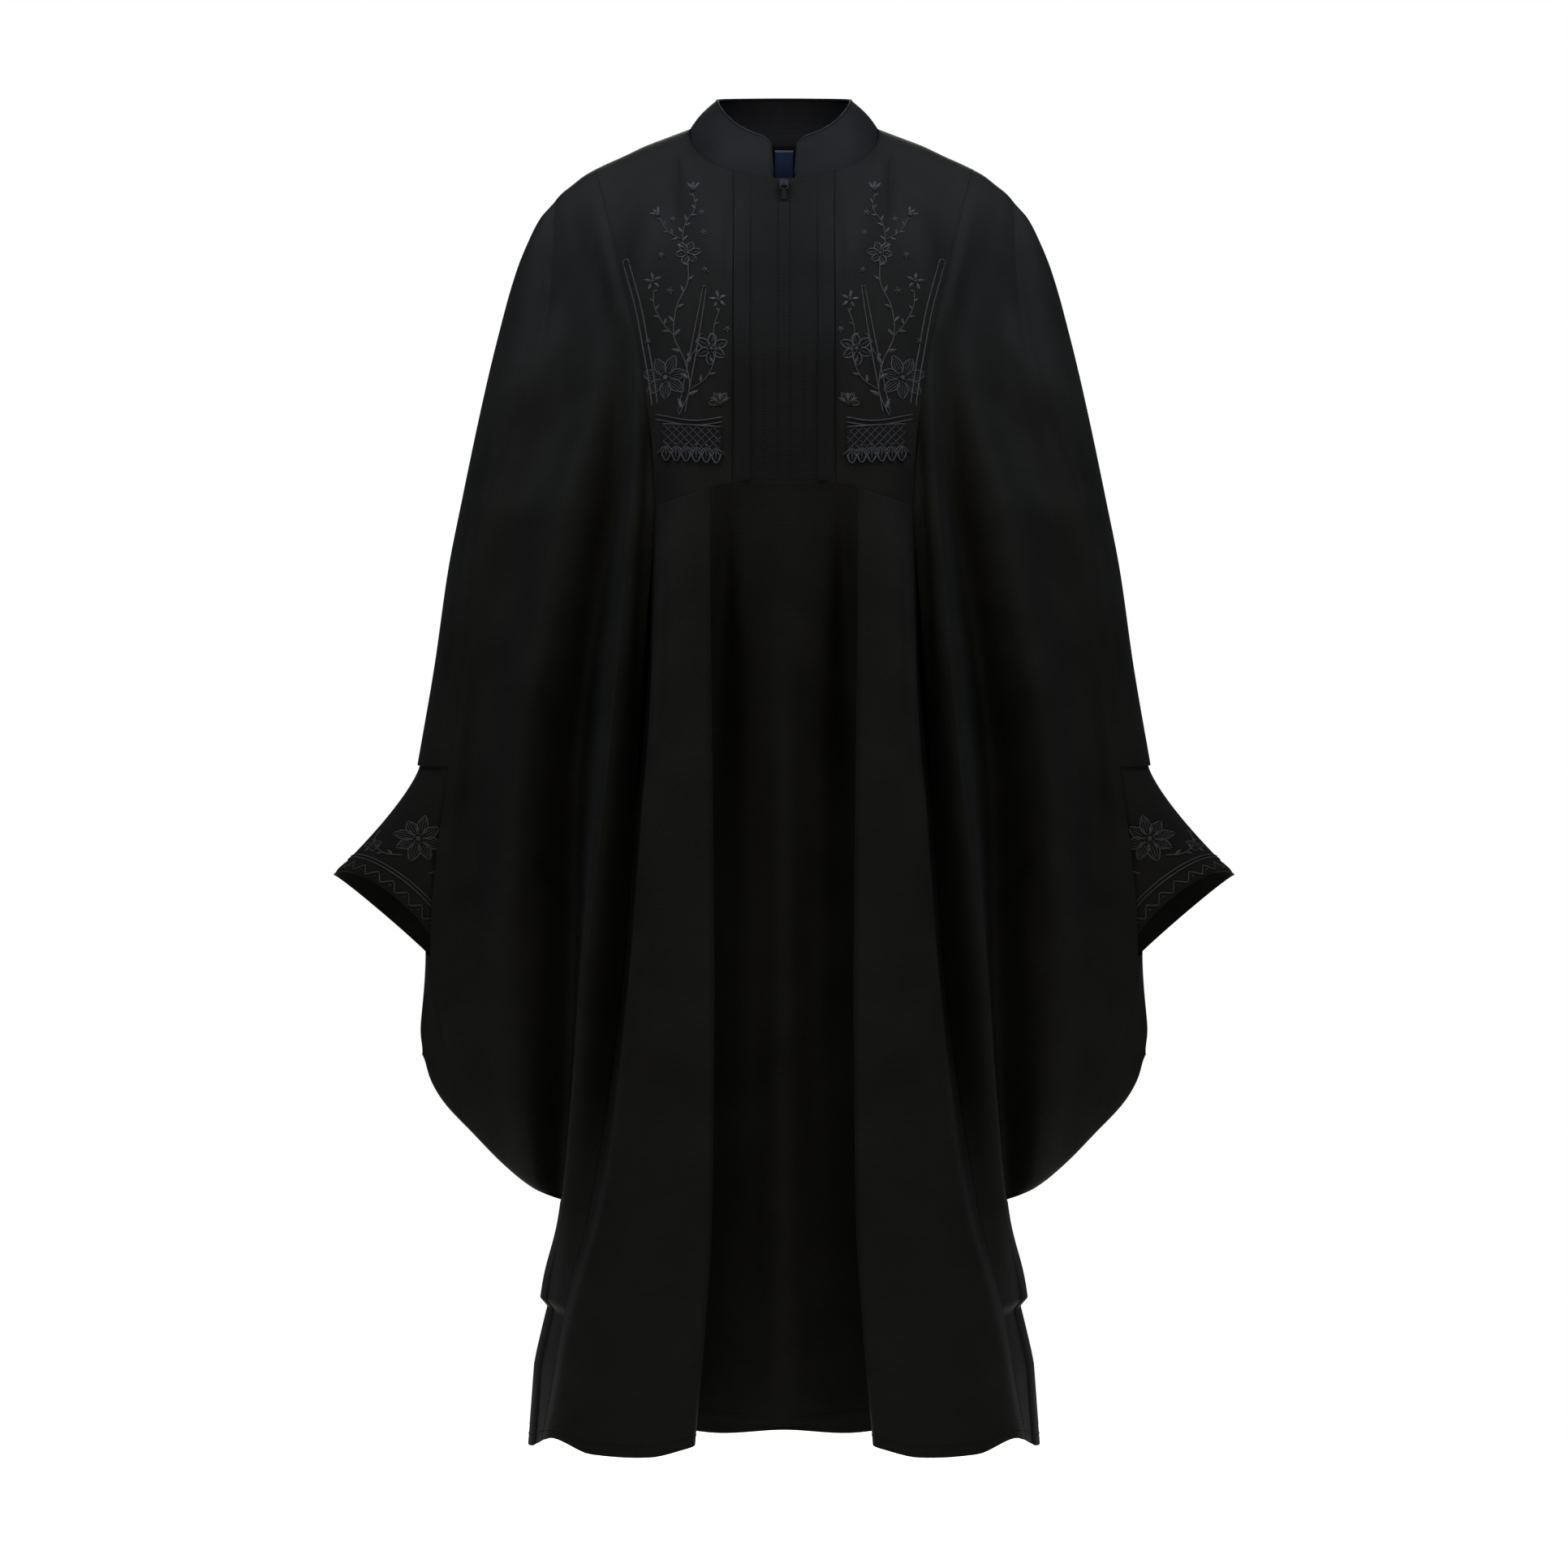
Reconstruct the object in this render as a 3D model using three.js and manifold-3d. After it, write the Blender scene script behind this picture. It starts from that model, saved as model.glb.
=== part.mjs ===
// A manteau of thin black crepe in a batwing cut, standing as it is worn, filled out and hollow.
// Millimetres, +Z up, the front toward -Y, the wearer's left toward +X. The origin is the middle of
// the neck at the height of the shoulders. Every cloth piece is cut from one set of lines that run
// down the garment: each row of a table is one fold or seam, with its place at named heights.
import * as THREE from 'three';
import { mergeVertices } from 'three/addons/utils/BufferGeometryUtils.js';
import Module from 'manifold-3d';

// ---------------------------------------------------------------- sizes
const WALL = 2.0;
const SEAM_GAP = 0.3;
const SKIRT_PULL = 0.22;
const LAY_ON_GAP = 0.35;
const CROSS_STEPS = 4;
const MAX_MITRE = 1.45;

const NECK = { halfWidth: 88, front: 80, back: 70, sideZ: 5, frontDrop: 57, backDrop: 7, power: 0.85 };
const COLLAR = {
  slitAngle: 6.5, topSlitAngle: 12, topHalfWidth: 63, topFront: 60, topBack: 62,
  topSideZ: 32, topFrontDrop: 45, topBackRise: 10, power: 1.3, swell: 2.5, endShare: 0.86,
  heights: [0, 0.3, 0.62, 0.92, 0.94, 1], pipingFrom: 0.94, piping: 1.0,
};
const PLACKET = { tuckRaise: 1.0, seamZ: -335 };
const WAIST = { innerX: 46, innerZ: -335, outerX: 117, outerZ: -356, sleeveRise: 9 };
const LEVEL = { wrist: -605, hand: -797, tip: -1000, bump: -1086, hem: -1217 };
const WING = {
  tipX: 209, cornerX: 344, cornerZ: -865, wristLift: 13, handLift: 31, bottomPower: 1.55, roundPower: 1.5,
};
const HEM = {
  frontZ: -1204, sideZ: -1228, halfWidth: 240, centreZ: -1198, centreEdgeRise: 6, centreEdgeX: 91,
  backZ: -1250,
};
const CUFF = {
  tip: [423, -695], inner: [322, -762], halfDepth: 33, frontLift: 24, innerReach: 25, rings: 6,
  wall: 1.6, flare: 1.3,
};
const TRIM = {
  fromX: 57, toX: 111, topZ: -286, bottomZ: -310, outerRise: 4, scallops: 7, scallopDrop: 8,
  scallopPower: 0.6, samples: 4, rows: 2, wall: 1.0,
};
const LABEL = { halfWidth: 9, topZ: -5, length: 34, wall: 0.8, rows: 5 };
const ZIP = {
  middleZ: -59.25, seatX: 3, offset: 0.45, width: 8, height: 10.5, thick: 3.2, corner: 2.2, bevel: 1,
  shoulder: 0.6, barRadius: 0.65, barOut: 2.1, barZ: -1.9, barEnd: 0.3,
  postWidth: 1.1, postGap: 3.4, postHeight: 2.4, postSunk: 0.4,
  eyeInner: 1.05, eyeOuter: 1.8, eyeWidth: 2.4,
  tabLength: 12, tabWidth: 4.2, tabThick: 1.0, tabCorner: 1.4, tabNeck: 2,
};

// Shoulder and sleeve top, seen from the front.
const OUTLINE = [
  { x: 88, z: 5 }, { x: 109, z: -3 }, { x: 130, z: -11 }, { x: 151, z: -21 }, { x: 171, z: -30 },
  { x: 187.5, z: -39 }, { x: 199, z: -48 }, { x: 210, z: -57 }, { x: 223, z: -75 }, { x: 238, z: -103 },
  { x: 251.5, z: -133 }, { x: 269, z: -194 }, { x: 283.5, z: -255 }, { x: 303, z: -347 },
  { x: 315, z: -408 }, { x: 328, z: -499 }, { x: 344, z: -592 },
];

// Heights at which the lines below are placed, as shares of each stretch's rows.
const UPPER_ROWS = [0, 0.03, 0.08, 0.15, 0.24, 0.34, 0.45, 0.56, 0.67, 0.78, 0.89, 1];
const MIDDLE_ROWS = {
  waistToWrist: [0, 0.22, 0.44, 0.66, 0.86], wristToHand: [0, 0.2, 0.4, 0.6, 0.8],
  handToTip: [0, 0.25, 0.48, 0.68, 0.84, 0.95],
};
const LOWER_ROWS = {
  tipToBump: [0, 0.34, 0.68], bumpToHem: [0, 0.13, 0.36, 0.64, 0.86, 1],
};

// Lines of the upper front: x and depth at rim, collarbone, armhole, bust and waist. Rim is where the
// line meets the neck (its angle, 0 in front to 90 at the side) or the shoulder (90 and the distance
// beyond the neck).
const YOKE_LINES = [
  { name: 'tuckEdge', steps: 2, rim: 31.5, x: [46, 46, 46, 46, 46], out: [68, 79, 112, 135, 141] },
  { name: 'neckCurve', steps: 2, rim: 50.6, x: [68, 75, 75, 66, 64], out: [51, 64, 108, 133, 141] },
  { name: 'neckFlank', steps: 2, rim: 70, x: [82.7, 92, 90, 77, 73], out: [27.4, 50, 106, 131.5, 140.3] },
  { name: 'neckSide', steps: 2, rim: 90, round: 1.4, x: [88, 101, 103, 87, 82], out: [0, 37, 101, 130, 139.5] },
  { name: 'shoulder', steps: 2, rim: 120, x: [118, 124, 126, 107, 100], out: [0, 40, 93, 124, 133] },
];
const PLACKET_LINES = [
  { name: 'zip', angle: 0 }, { name: 'slit', angle: COLLAR.slitAngle }, { name: 'middle', angle: 14 },
  { name: 'stepFoot', angle: 20.2 }, { name: 'stepTop', angle: 21 }, { name: 'tuckEdge', angle: 31.5 },
];
const PLACKET_DEPTH = { centre: [80, 88, 113, 136.5, 142.5], edge: [68, 79, 112, 135, 141] };

// Lines of the side front: x and depth at rim, collarbone, armhole, bust, waist, wrist, hand, tip,
// bump and hem. Rise is the share of the sleeve edge's lift that the line takes.
const SIDE_LINES = [
  { name: 'princess', steps: 2, rim: 178, rise: 0,
    x: [176, 169, 151, 128, 117, 134, 148, 177, 199, 222], out: [0, 36, 80, 114, 118, 88, 90, 104, 100, 92] },
  { name: 'foldB', steps: 3, rim: 185, rise: 0,
    x: [183, 177, 160, 136, 138, 161, 182, 201, 219, 230], out: [0, 35, 78, 112, 122, 122, 116, 90, 46, 50] },
  { name: 'valley', steps: 3, rim: 192, rise: 0,
    x: [190, 186, 171, 152, 156, 192, 196, 209, 228, 240], out: [0, 32, 70, 98, 88, 46, 38, 0, 0, 0] },
  { name: 'wingFold', steps: 2, rim: 200, rise: 0.2,
    x: [198, 195, 185, 172, 193, 244, 252, 233], out: [0, 29, 62, 94, 104, 92, 70, 0] },
  { name: 'wingSide', steps: 2, rim: 208, rise: 0.5,
    x: [206, 205, 201, 199, 243, 281, 287, 263], out: [0, 25, 52, 74, 72, 56, 44, 0] },
  { name: 'crease', steps: CROSS_STEPS, rim: 216, rise: 0.85,
    x: [214, 215.5, 219, 239, 275, 312, 331, 294], out: [0, 19, 40, 60, 57, 49, 27, 0] },
  { name: 'edge', steps: 0, rim: 232, rise: 1,
    x: [230, 236, 252, 281, 303, 344, 336.5, 344], out: [0, 0, 0, 0, 0, 0, 0, 0] },
];

// Lines of the front skirt panel and the recessed centre panel: waist, wrist, hand, tip, bump, hem.
const CENTRE_LINES = [
  { name: 'ridge', steps: 2, x: [0, 0, 0, 0, 0, 0], out: [142, 116, 110, 106, 105, 105] },
  { name: 'hollow', steps: 2, x: [28, 28, 28, 28, 30, 33], out: [141, 103, 98, 95, 94, 94] },
  { name: 'inner', steps: 1, x: [45, 52, 54, 55, 58, 63], out: [138, 92, 89, 87, 86, 84] },
  { name: 'side', steps: 1, x: [56, 73, 75, 76, 81, 91], out: [134, 88, 85, 83, 82, 80] },
];
const SKIRT_LINES = [
  { name: 'returnFoot', steps: 1, x: [62, 85, 88, 92, 98, 107], out: [132, 99, 96, 94, 93, 90] },
  { name: 'returnTop', steps: 1, x: [66, 71, 70, 72, 76, 86], out: [135, 127, 132, 138, 141, 142] },
  { name: 'foldInner', steps: 1, x: [68, 65, 63, 65, 70, 80], out: [138.5, 141, 149, 157, 161, 164] },
  { name: 'foldOuter', steps: 2, x: [72, 70, 67, 68, 73, 84], out: [141, 151, 158, 166, 171, 174] },
  { name: 'panel', steps: 2, x: [82, 90, 97, 108, 116, 129], out: [140.5, 151, 157, 164, 167, 168] },
  { name: 'pleatRidge', steps: 1, x: [94, 109, 125, 150, 165, 185], out: [138, 148, 155, 160, 157, 147] },
  { name: 'strip', steps: 1, x: [104, 118, 133, 160, 178, 202], out: [132, 144, 153, 155, 150, 137] },
  { name: 'foldC', steps: 2, x: [111, 126, 140, 167, 189, 215], out: [126, 138, 147, 148, 140, 122] },
];

// Lines of the back, from its middle, with the same places as the side front's.
const BACK_LINES = [
  { name: 'backMiddle', steps: 2, rim: 180, rise: 0,
    x: [0, 0, 0, 0, 0, 0, 0, 0, 0, 0], out: [70, 82, 108, 119, 120, 143, 165, 193, 207, 235] },
  { name: 'backValley', steps: 3, rim: 140, rise: 0,
    x: [56, 57, 58, 54, 47, 47, 50, 55, 58, 64], out: [54, 76, 106, 116, 112, 122, 138, 163, 178, 202] },
  { name: 'backRidge', steps: 2, rim: 90, rise: 0,
    x: [88, 96, 95, 86, 80, 87, 95, 104, 109, 121], out: [0, 58, 99, 112, 117, 138, 156, 180, 192, 216] },
  { name: 'backHollow', steps: 2, rim: 120, rise: 0,
    x: [118, 121, 124, 110, 108, 121, 133, 147, 153, 167], out: [0, 46, 90, 101, 98, 99, 107, 122, 131, 142] },
  { name: 'backFold', steps: 2, rim: 155, rise: 0,
    x: [153, 152, 148, 132, 137, 155, 171, 192, 207, 218], out: [0, 38, 82, 99, 109, 124, 128, 118, 92, 96] },
  { name: 'backSide', steps: 3, rim: 185, rise: 0,
    x: [183, 179, 169, 154, 162, 197, 203, 209, 228, 240], out: [0, 31, 66, 88, 84, 54, 42, 0, 0, 0] },
  { name: 'backWing', steps: 2, rim: 198, rise: 0.25,
    x: [196, 194, 189, 180, 200, 249, 258, 236], out: [0, 27, 57, 83, 95, 86, 66, 0] },
  { name: 'backWingSide', steps: 2, rim: 207, rise: 0.5,
    x: [205, 204.5, 204, 206, 246, 284, 290, 266], out: [0, 23, 48, 68, 66, 54, 42, 0] },
  { name: 'backCrease', steps: CROSS_STEPS, rim: 216, rise: 0.85,
    x: [214, 215.5, 219, 240, 275, 312, 331, 294], out: [0, 18, 38, 57, 54, 48, 26, 0] },
  SIDE_LINES[6],
];

const UPPER_STATIONS = [0, 0.08, 0.32, 0.645, 1];
const LOWER_STATIONS = [0, 1, 2, 3, 4, 5];

// ---------------------------------------------------------------- curves
// Smooth value without overshoot through the points (at, value).
function through(at, value, where) {
  const last = at.length - 1;
  let k = 0;
  while (k < last - 1 && where > at[k + 1]) k += 1;
  const slope = (i) => (value[i + 1] - value[i]) / (at[i + 1] - at[i]);
  const tangent = (i) => {
    if (i === 0) return slope(0);
    if (i === last) return slope(last - 1);
    const before = slope(i - 1);
    const after = slope(i);
    return before * after <= 0 ? 0 : (2 * before * after) / (before + after);
  };
  const span = at[k + 1] - at[k];
  const t = (where - at[k]) / span;
  const t2 = t * t;
  const t3 = t2 * t;
  return value[k] * (2 * t3 - 3 * t2 + 1) + tangent(k) * span * (t3 - 2 * t2 + t)
    + value[k + 1] * (3 * t2 - 2 * t3) + tangent(k + 1) * span * (t3 - t2);
}

// Depths are blended as squares, so that a layer closes round at a shoulder or a lower edge.
function depthThrough(at, out, where, round = 2) {
  const powers = out.map((d) => d ** round);
  return Math.max(0, through(at, powers, where)) ** (1 / round);
}

const outlineZ = (x) => through(OUTLINE.map((p) => p.x), OUTLINE.map((p) => p.z), x);
const outlineX = (z) => through(OUTLINE.map((p) => -p.z), OUTLINE.map((p) => p.x), -z);
const radians = (degrees) => (degrees * Math.PI) / 180;
const mix = (a, b, t) => a + (b - a) * t;
const mirrorPoint = (p) => new THREE.Vector3(-p.x, p.y, p.z);

// Point of the neck seam at an angle from the middle front.
function neckPoint(angle) {
  const c = Math.cos(radians(angle));
  const drop = c > 0 ? NECK.frontDrop * c ** NECK.power : NECK.backDrop * -c;
  const y = c > 0 ? -NECK.front * c : -NECK.back * c;
  return new THREE.Vector3(NECK.halfWidth * Math.sin(radians(angle)), y, NECK.sideZ - drop);
}

// Point of the rim that the front and back hang from: the neck seam, then the shoulder.
function rimPoint(rim, onNeck) {
  if (onNeck) return neckPoint(rim);
  const x = NECK.halfWidth + rim - 90;
  return new THREE.Vector3(x, 0, outlineZ(x));
}

function waistZ(x) {
  const t = (Math.abs(x) - WAIST.innerX) / (WAIST.outerX - WAIST.innerX);
  return mix(WAIST.innerZ, WAIST.outerZ, Math.min(1, Math.max(0, t)));
}

function wingBottomZ(x) {
  const t = Math.max(0, (x - WING.tipX) / (WING.cornerX - WING.tipX));
  return LEVEL.tip + (WING.cornerZ - LEVEL.tip) * t ** WING.bottomPower;
}

const frontHemZ = (x) => HEM.frontZ + (HEM.sideZ - HEM.frontZ) * (x / HEM.halfWidth) ** 4;
const backHemZ = (x) => HEM.backZ + (HEM.sideZ - HEM.backZ) * (x / HEM.halfWidth) ** 2;
const centreHemZ = (x) => HEM.centreZ + HEM.centreEdgeRise * (x / HEM.centreEdgeX) ** 2;

// ---------------------------------------------------------------- lines
const middleShares = [
  ...MIDDLE_ROWS.waistToWrist, ...MIDDLE_ROWS.wristToHand.map((s) => 1 + s),
  ...MIDDLE_ROWS.handToTip.map((s) => 2 + s),
];
const lowerShares = [
  ...LOWER_ROWS.tipToBump.map((s) => 3 + s), ...LOWER_ROWS.bumpToHem.map((s) => 4 + s),
];
const TIP_ROW = middleShares.length;
const WRIST_ROW = MIDDLE_ROWS.waistToWrist.length;
const HAND_ROW = WRIST_ROW + MIDDLE_ROWS.wristToHand.length;
const UPPER = UPPER_ROWS.length - 1;

// Points of one line above the waist.
function upperLine(line, side, onNeck) {
  const top = rimPoint(line.rim, onNeck);
  return UPPER_ROWS.map((share) => {
    const z = mix(top.z, waistZ(line.x[4]) + (line.rise === 1 ? WAIST.sleeveRise : 0), share);
    const x = line.rise === 1 ? outlineX(z) : through(UPPER_STATIONS, line.x.slice(0, 5), share);
    const out = depthThrough(UPPER_STATIONS, line.out.slice(0, 5), share, line.round);
    return share === 0 ? top.clone() : new THREE.Vector3(x, side * out, z);
  });
}

// Points of one line below the waist, from the waist's own point down to its end.
function lowerLine(x, out, rise, side, hemZ) {
  const toHem = x.length === 6;
  const heights = [
    waistZ(x[0]) + (rise === 1 ? WAIST.sleeveRise : 0),
    LEVEL.wrist + rise * WING.wristLift, LEVEL.hand + rise * WING.handLift,
    rise > 0 ? wingBottomZ(x[3]) : LEVEL.tip, LEVEL.bump, toHem ? hemZ(x[5]) : 0,
  ].slice(0, x.length);
  const at = LOWER_STATIONS.slice(0, x.length);
  const shares = toHem ? [...middleShares, ...lowerShares] : [...middleShares, 3];
  return shares.map((share) => {
    const z = through(at, heights, share);
    const onSleeve = rise === 1 && share < 1;
    const px = onSleeve ? outlineX(z) : through(at, x, share);
    return new THREE.Vector3(px, side * depthThrough(at, out, share), z);
  });
}

function fullLine(line, side, onNeck) {
  const hem = side > 0 ? backHemZ : frontHemZ;
  const upper = upperLine(line, side, onNeck);
  const lower = lowerLine(line.x.slice(4), line.out.slice(4), line.rise, side, hem);
  return [...upper.slice(0, -1), ...lower];
}

// Quarter turn from one line's point to a point on the middle plane.
function roundedPoint(from, to, share) {
  const turn = (Math.PI / 2) * share;
  const rest = 1 - Math.cos(turn);
  return new THREE.Vector3(
    mix(from.x, to.x, Math.sin(turn)), mix(from.y, to.y, rest), mix(from.z, to.z, rest),
  );
}

// Points between the lines of one row: a smooth curve through them. `rounding` gives each stretch's
// share of a quarter turn instead of the curve. A row that starts on the garment's middle is
// smoothed through its mirror image.
function acrossRow(linePoints, steps, rounding) {
  const fromMiddle = Math.abs(linePoints[0].x) < 1e-6;
  const lead = fromMiddle ? [mirrorPoint(linePoints[1])] : [];
  const knots = [...lead, ...linePoints];
  const curve = new THREE.CatmullRomCurve3(knots, false, 'centripetal');
  const last = linePoints.length - 1;
  const points = [];
  for (let i = 0; i < last; i += 1) {
    for (let k = 0; k < steps[i]; k += 1) {
      const smooth = curve.getPoint((i + lead.length + k / steps[i]) / (knots.length - 1));
      const round = roundedPoint(linePoints[i], linePoints[i + 1], k / steps[i]);
      points.push(k === 0 ? linePoints[i].clone() : smooth.lerp(round, rounding(i)));
    }
  }
  points.push(linePoints[last].clone());
  return points;
}

// Grid of points from lines; every line has the same number of rows.
function gridFrom(lines, steps, rounding = () => 0) {
  return lines[0].map((unused, row) => acrossRow(
    lines.map((line) => line[row]), steps, (i) => rounding(i, row),
  ));
}

// ---------------------------------------------------------------- panels
// A panel is a grid of outer points. Cells can be left out, so that it is not always four-sided.
class Panel {
  constructor(name, grid, options = {}) {
    this.name = name;
    this.grid = grid;
    this.wall = options.wall ?? WALL;
    this.keep = options.keep ?? (() => true);
    this.raise = options.raise ?? (() => 0);
    this.facing = options.facing ?? 1;
    this.closed = options.closed ?? false;
    this.pull = options.pull ?? SEAM_GAP / 2;
    this.side = options.side ?? 0;
    this.levelRow = options.levelRow ?? -1;
    this.levelTo = options.levelTo ?? Infinity;
    this.sewn = options.sewn ?? true;
  }

  get rows() { return this.grid.length; }

  get columns() { return this.grid[0].length; }

  key(r, c) { return r * this.columns + (this.closed ? c % (this.columns - 1) : c); }

  point(r, c) { return this.grid[r][this.closed ? c % (this.columns - 1) : c]; }

  cells() {
    const found = [];
    for (let r = 0; r < this.rows - 1; r += 1) {
      for (let c = 0; c < this.columns - 1; c += 1) {
        if (this.keep(r, c)) found.push([r, c]);
      }
    }
    return found;
  }

  // The two triangles of each kept cell, as corner keys and points.
  faces() {
    return this.cells().flatMap(([r, c]) => {
      const [a, b, d, e] = [[r, c], [r, c + 1], [r + 1, c + 1], [r + 1, c]];
      return (r + c) % 2 ? [[a, b, d], [a, d, e]] : [[a, b, e], [b, d, e]];
    });
  }
}

const placeKey = (p) => p.toArray().map((v) => Math.round(v * 100) || 0).join(',');

// Face normals met at each place, over every panel, so that panels sewn together agree.
function gatherNormals(panels) {
  const met = new Map();
  panels.forEach((panel) => {
    panel.faces().forEach((face) => {
      const [a, b, c] = face.map(([r, k]) => panel.point(r, k));
      const normal = c.clone().sub(a).cross(b.clone().sub(a)).multiplyScalar(panel.facing);
      [a, b, c].forEach((corner) => {
        const key = placeKey(corner);
        if (!met.has(key)) met.set(key, []);
        met.get(key).push(normal);
      });
    });
  });
  return met;
}

// Direction out of the cloth at a point, longer where the wall turns a corner. Along the seam
// between front and back it stays in their middle plane, along the waist seam it stays level.
function outward(met, point, seamOnMiddle = false, level = false) {
  const normals = met.get(placeKey(point));
  const sum = normals.reduce((total, n) => total.add(n), new THREE.Vector3());
  if (seamOnMiddle) sum.y = 0;
  if (level) sum.z = 0;
  sum.normalize();
  const agree = normals.reduce((total, n) => total + n.dot(sum) / (n.length() || 1), 0) / normals.length;
  return sum.multiplyScalar(Math.min(MAX_MITRE, 1 / Math.max(agree, 0.5)));
}

// Order of two points that is the same for every panel and in both halves of the garment, so that
// the edge faces of two panels sewn together are split along the same diagonal.
function comesFirst(p, q) {
  const differ = [Math.abs(p.x) - Math.abs(q.x), p.z - q.z, p.y - q.y].find((d) => Math.abs(d) > 1e-4);
  return (differ ?? 0) < 0;
}

// Closed shell of a panel: outer skin, inner skin and a rim along every free edge of its cells.
function shell(panel, met) {
  const outer = new Map();
  const inner = new Map();
  const positions = [];
  const triangles = [];
  const faces = panel.faces();
  const used = new Set(faces.flat().map(([r, c]) => panel.key(r, c)));
  const edges = new Map();
  faces.forEach((face) => {
    face.forEach((corner, i) => {
      const next = face[(i + 1) % 3];
      const forward = `${panel.key(...corner)}:${panel.key(...next)}`;
      const back = `${panel.key(...next)}:${panel.key(...corner)}`;
      if (edges.has(back)) edges.delete(back);
      else edges.set(forward, [corner, next]);
    });
  });
  const onEdge = new Set([...edges.values()].flat().map(([r, c]) => panel.key(r, c)));
  const directions = new Map();
  for (let r = 0; r < panel.rows; r += 1) {
    for (let c = 0; c < panel.columns; c += 1) {
      const key = panel.key(r, c);
      if (used.has(key) && !directions.has(key)) {
        const p = panel.point(r, c);
        const seamOnMiddle = panel.sewn && Math.abs(p.y) < 0.01 && onEdge.has(key);
        const level = r === panel.levelRow && c <= panel.levelTo;
        directions.set(key, outward(met, p, seamOnMiddle, level));
      }
    }
  }
  const neighbours = (r, c) => [[r - 1, c], [r + 1, c], [r, c - 1], [r, c + 1]].filter(
    ([i, j]) => i >= 0 && j >= 0 && i < panel.rows && j < panel.columns && used.has(panel.key(i, j)),
  );
  for (let r = 0; r < panel.rows; r += 1) {
    for (let c = 0; c < panel.columns; c += 1) {
      const key = panel.key(r, c);
      if (!used.has(key) || outer.has(key)) continue;
      const p = panel.point(r, c);
      const n = directions.get(key);
      const skin = p.clone().addScaledVector(n, panel.raise(r, c));
      const lining = p.clone().addScaledVector(n, -panel.wall);
      if (onEdge.has(key) && panel.pull > 0) {
        const shift = new THREE.Vector3();
        neighbours(r, c).forEach(([i, j]) => {
          const crossing = ![...edges.values()].some(([a, b]) => {
            const pair = [panel.key(...a), panel.key(...b)];
            return pair.includes(key) && pair.includes(panel.key(i, j));
          });
          if (crossing || (i !== r && j !== c)) {
            shift.add(panel.point(i, j).clone().sub(p).normalize().multiplyScalar(panel.pull));
          }
        });
        if (shift.lengthSq() === 0) {
          neighbours(r, c).forEach(([i, j]) => {
            shift.add(panel.point(i, j).clone().sub(p).normalize().multiplyScalar(panel.pull));
          });
        }
        skin.add(shift);
        lining.add(shift);
      }
      if (panel.side !== 0) {
        [skin, lining].forEach((q) => {
          q.y = panel.side * Math.max(panel.side * q.y, SEAM_GAP / 2);
        });
      }
      outer.set(key, positions.length / 3);
      positions.push(skin.x, skin.y, skin.z);
      inner.set(key, positions.length / 3);
      positions.push(lining.x, lining.y, lining.z);
    }
  }
  const push = (a, b, c) => {
    if (panel.facing > 0) triangles.push(a, c, b);
    else triangles.push(a, b, c);
  };
  faces.forEach((face) => {
    const [a, b, c] = face.map(([r, k]) => panel.key(r, k));
    push(outer.get(a), outer.get(b), outer.get(c));
    push(inner.get(a), inner.get(c), inner.get(b));
  });
  edges.forEach(([from, to]) => {
    const [a, b] = [panel.key(...from), panel.key(...to)];
    if (comesFirst(panel.point(...from), panel.point(...to))) {
      push(outer.get(b), outer.get(a), inner.get(b));
      push(outer.get(a), inner.get(a), inner.get(b));
    } else {
      push(outer.get(b), outer.get(a), inner.get(a));
      push(outer.get(b), inner.get(a), inner.get(b));
    }
  });
  return { positions, triangles };
}

function geometryOf({ positions, triangles }, mirrored = false) {
  const geometry = new THREE.BufferGeometry();
  const values = mirrored ? positions.map((v, i) => (i % 3 === 0 ? -v : v)) : positions;
  geometry.setAttribute('position', new THREE.Float32BufferAttribute(values, 3));
  const index = [];
  for (let i = 0; i < triangles.length; i += 3) {
    const [a, b, c] = triangles.slice(i, i + 3);
    index.push(a, mirrored ? c : b, mirrored ? b : c);
  }
  geometry.setIndex(index);
  geometry.computeVertexNormals();
  return geometry;
}

// ---------------------------------------------------------------- cloth pieces, wearer's left half
const sideSteps = SIDE_LINES.slice(0, -1).map((line) => line.steps);
const sideLines = SIDE_LINES.map((line) => fullLine(line, -1, false));
const TIP = UPPER + TIP_ROW;
const indexOf = (lines, name) => lines.findIndex((line) => line.name === name);
const columnsBefore = (steps, index) => steps.slice(0, index).reduce((total, count) => total + count, 0);

// The rounded columns of the sleeve edge run down to the curve of the wing's lower edge.
function lowerSleeveEdge(grid, crease) {
  const hand = UPPER + HAND_ROW;
  const drop = (r) => (grid[r][crease].z - grid[hand][crease].z) / (grid[TIP][crease].z - grid[hand][crease].z);
  for (let r = hand + 1; r <= TIP; r += 1) {
    for (let c = crease + 1; c < grid[r].length; c += 1) {
      grid[r][c].z = mix(grid[hand][c].z, wingBottomZ(grid[TIP][c].x), drop(r));
    }
  }
}

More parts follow.
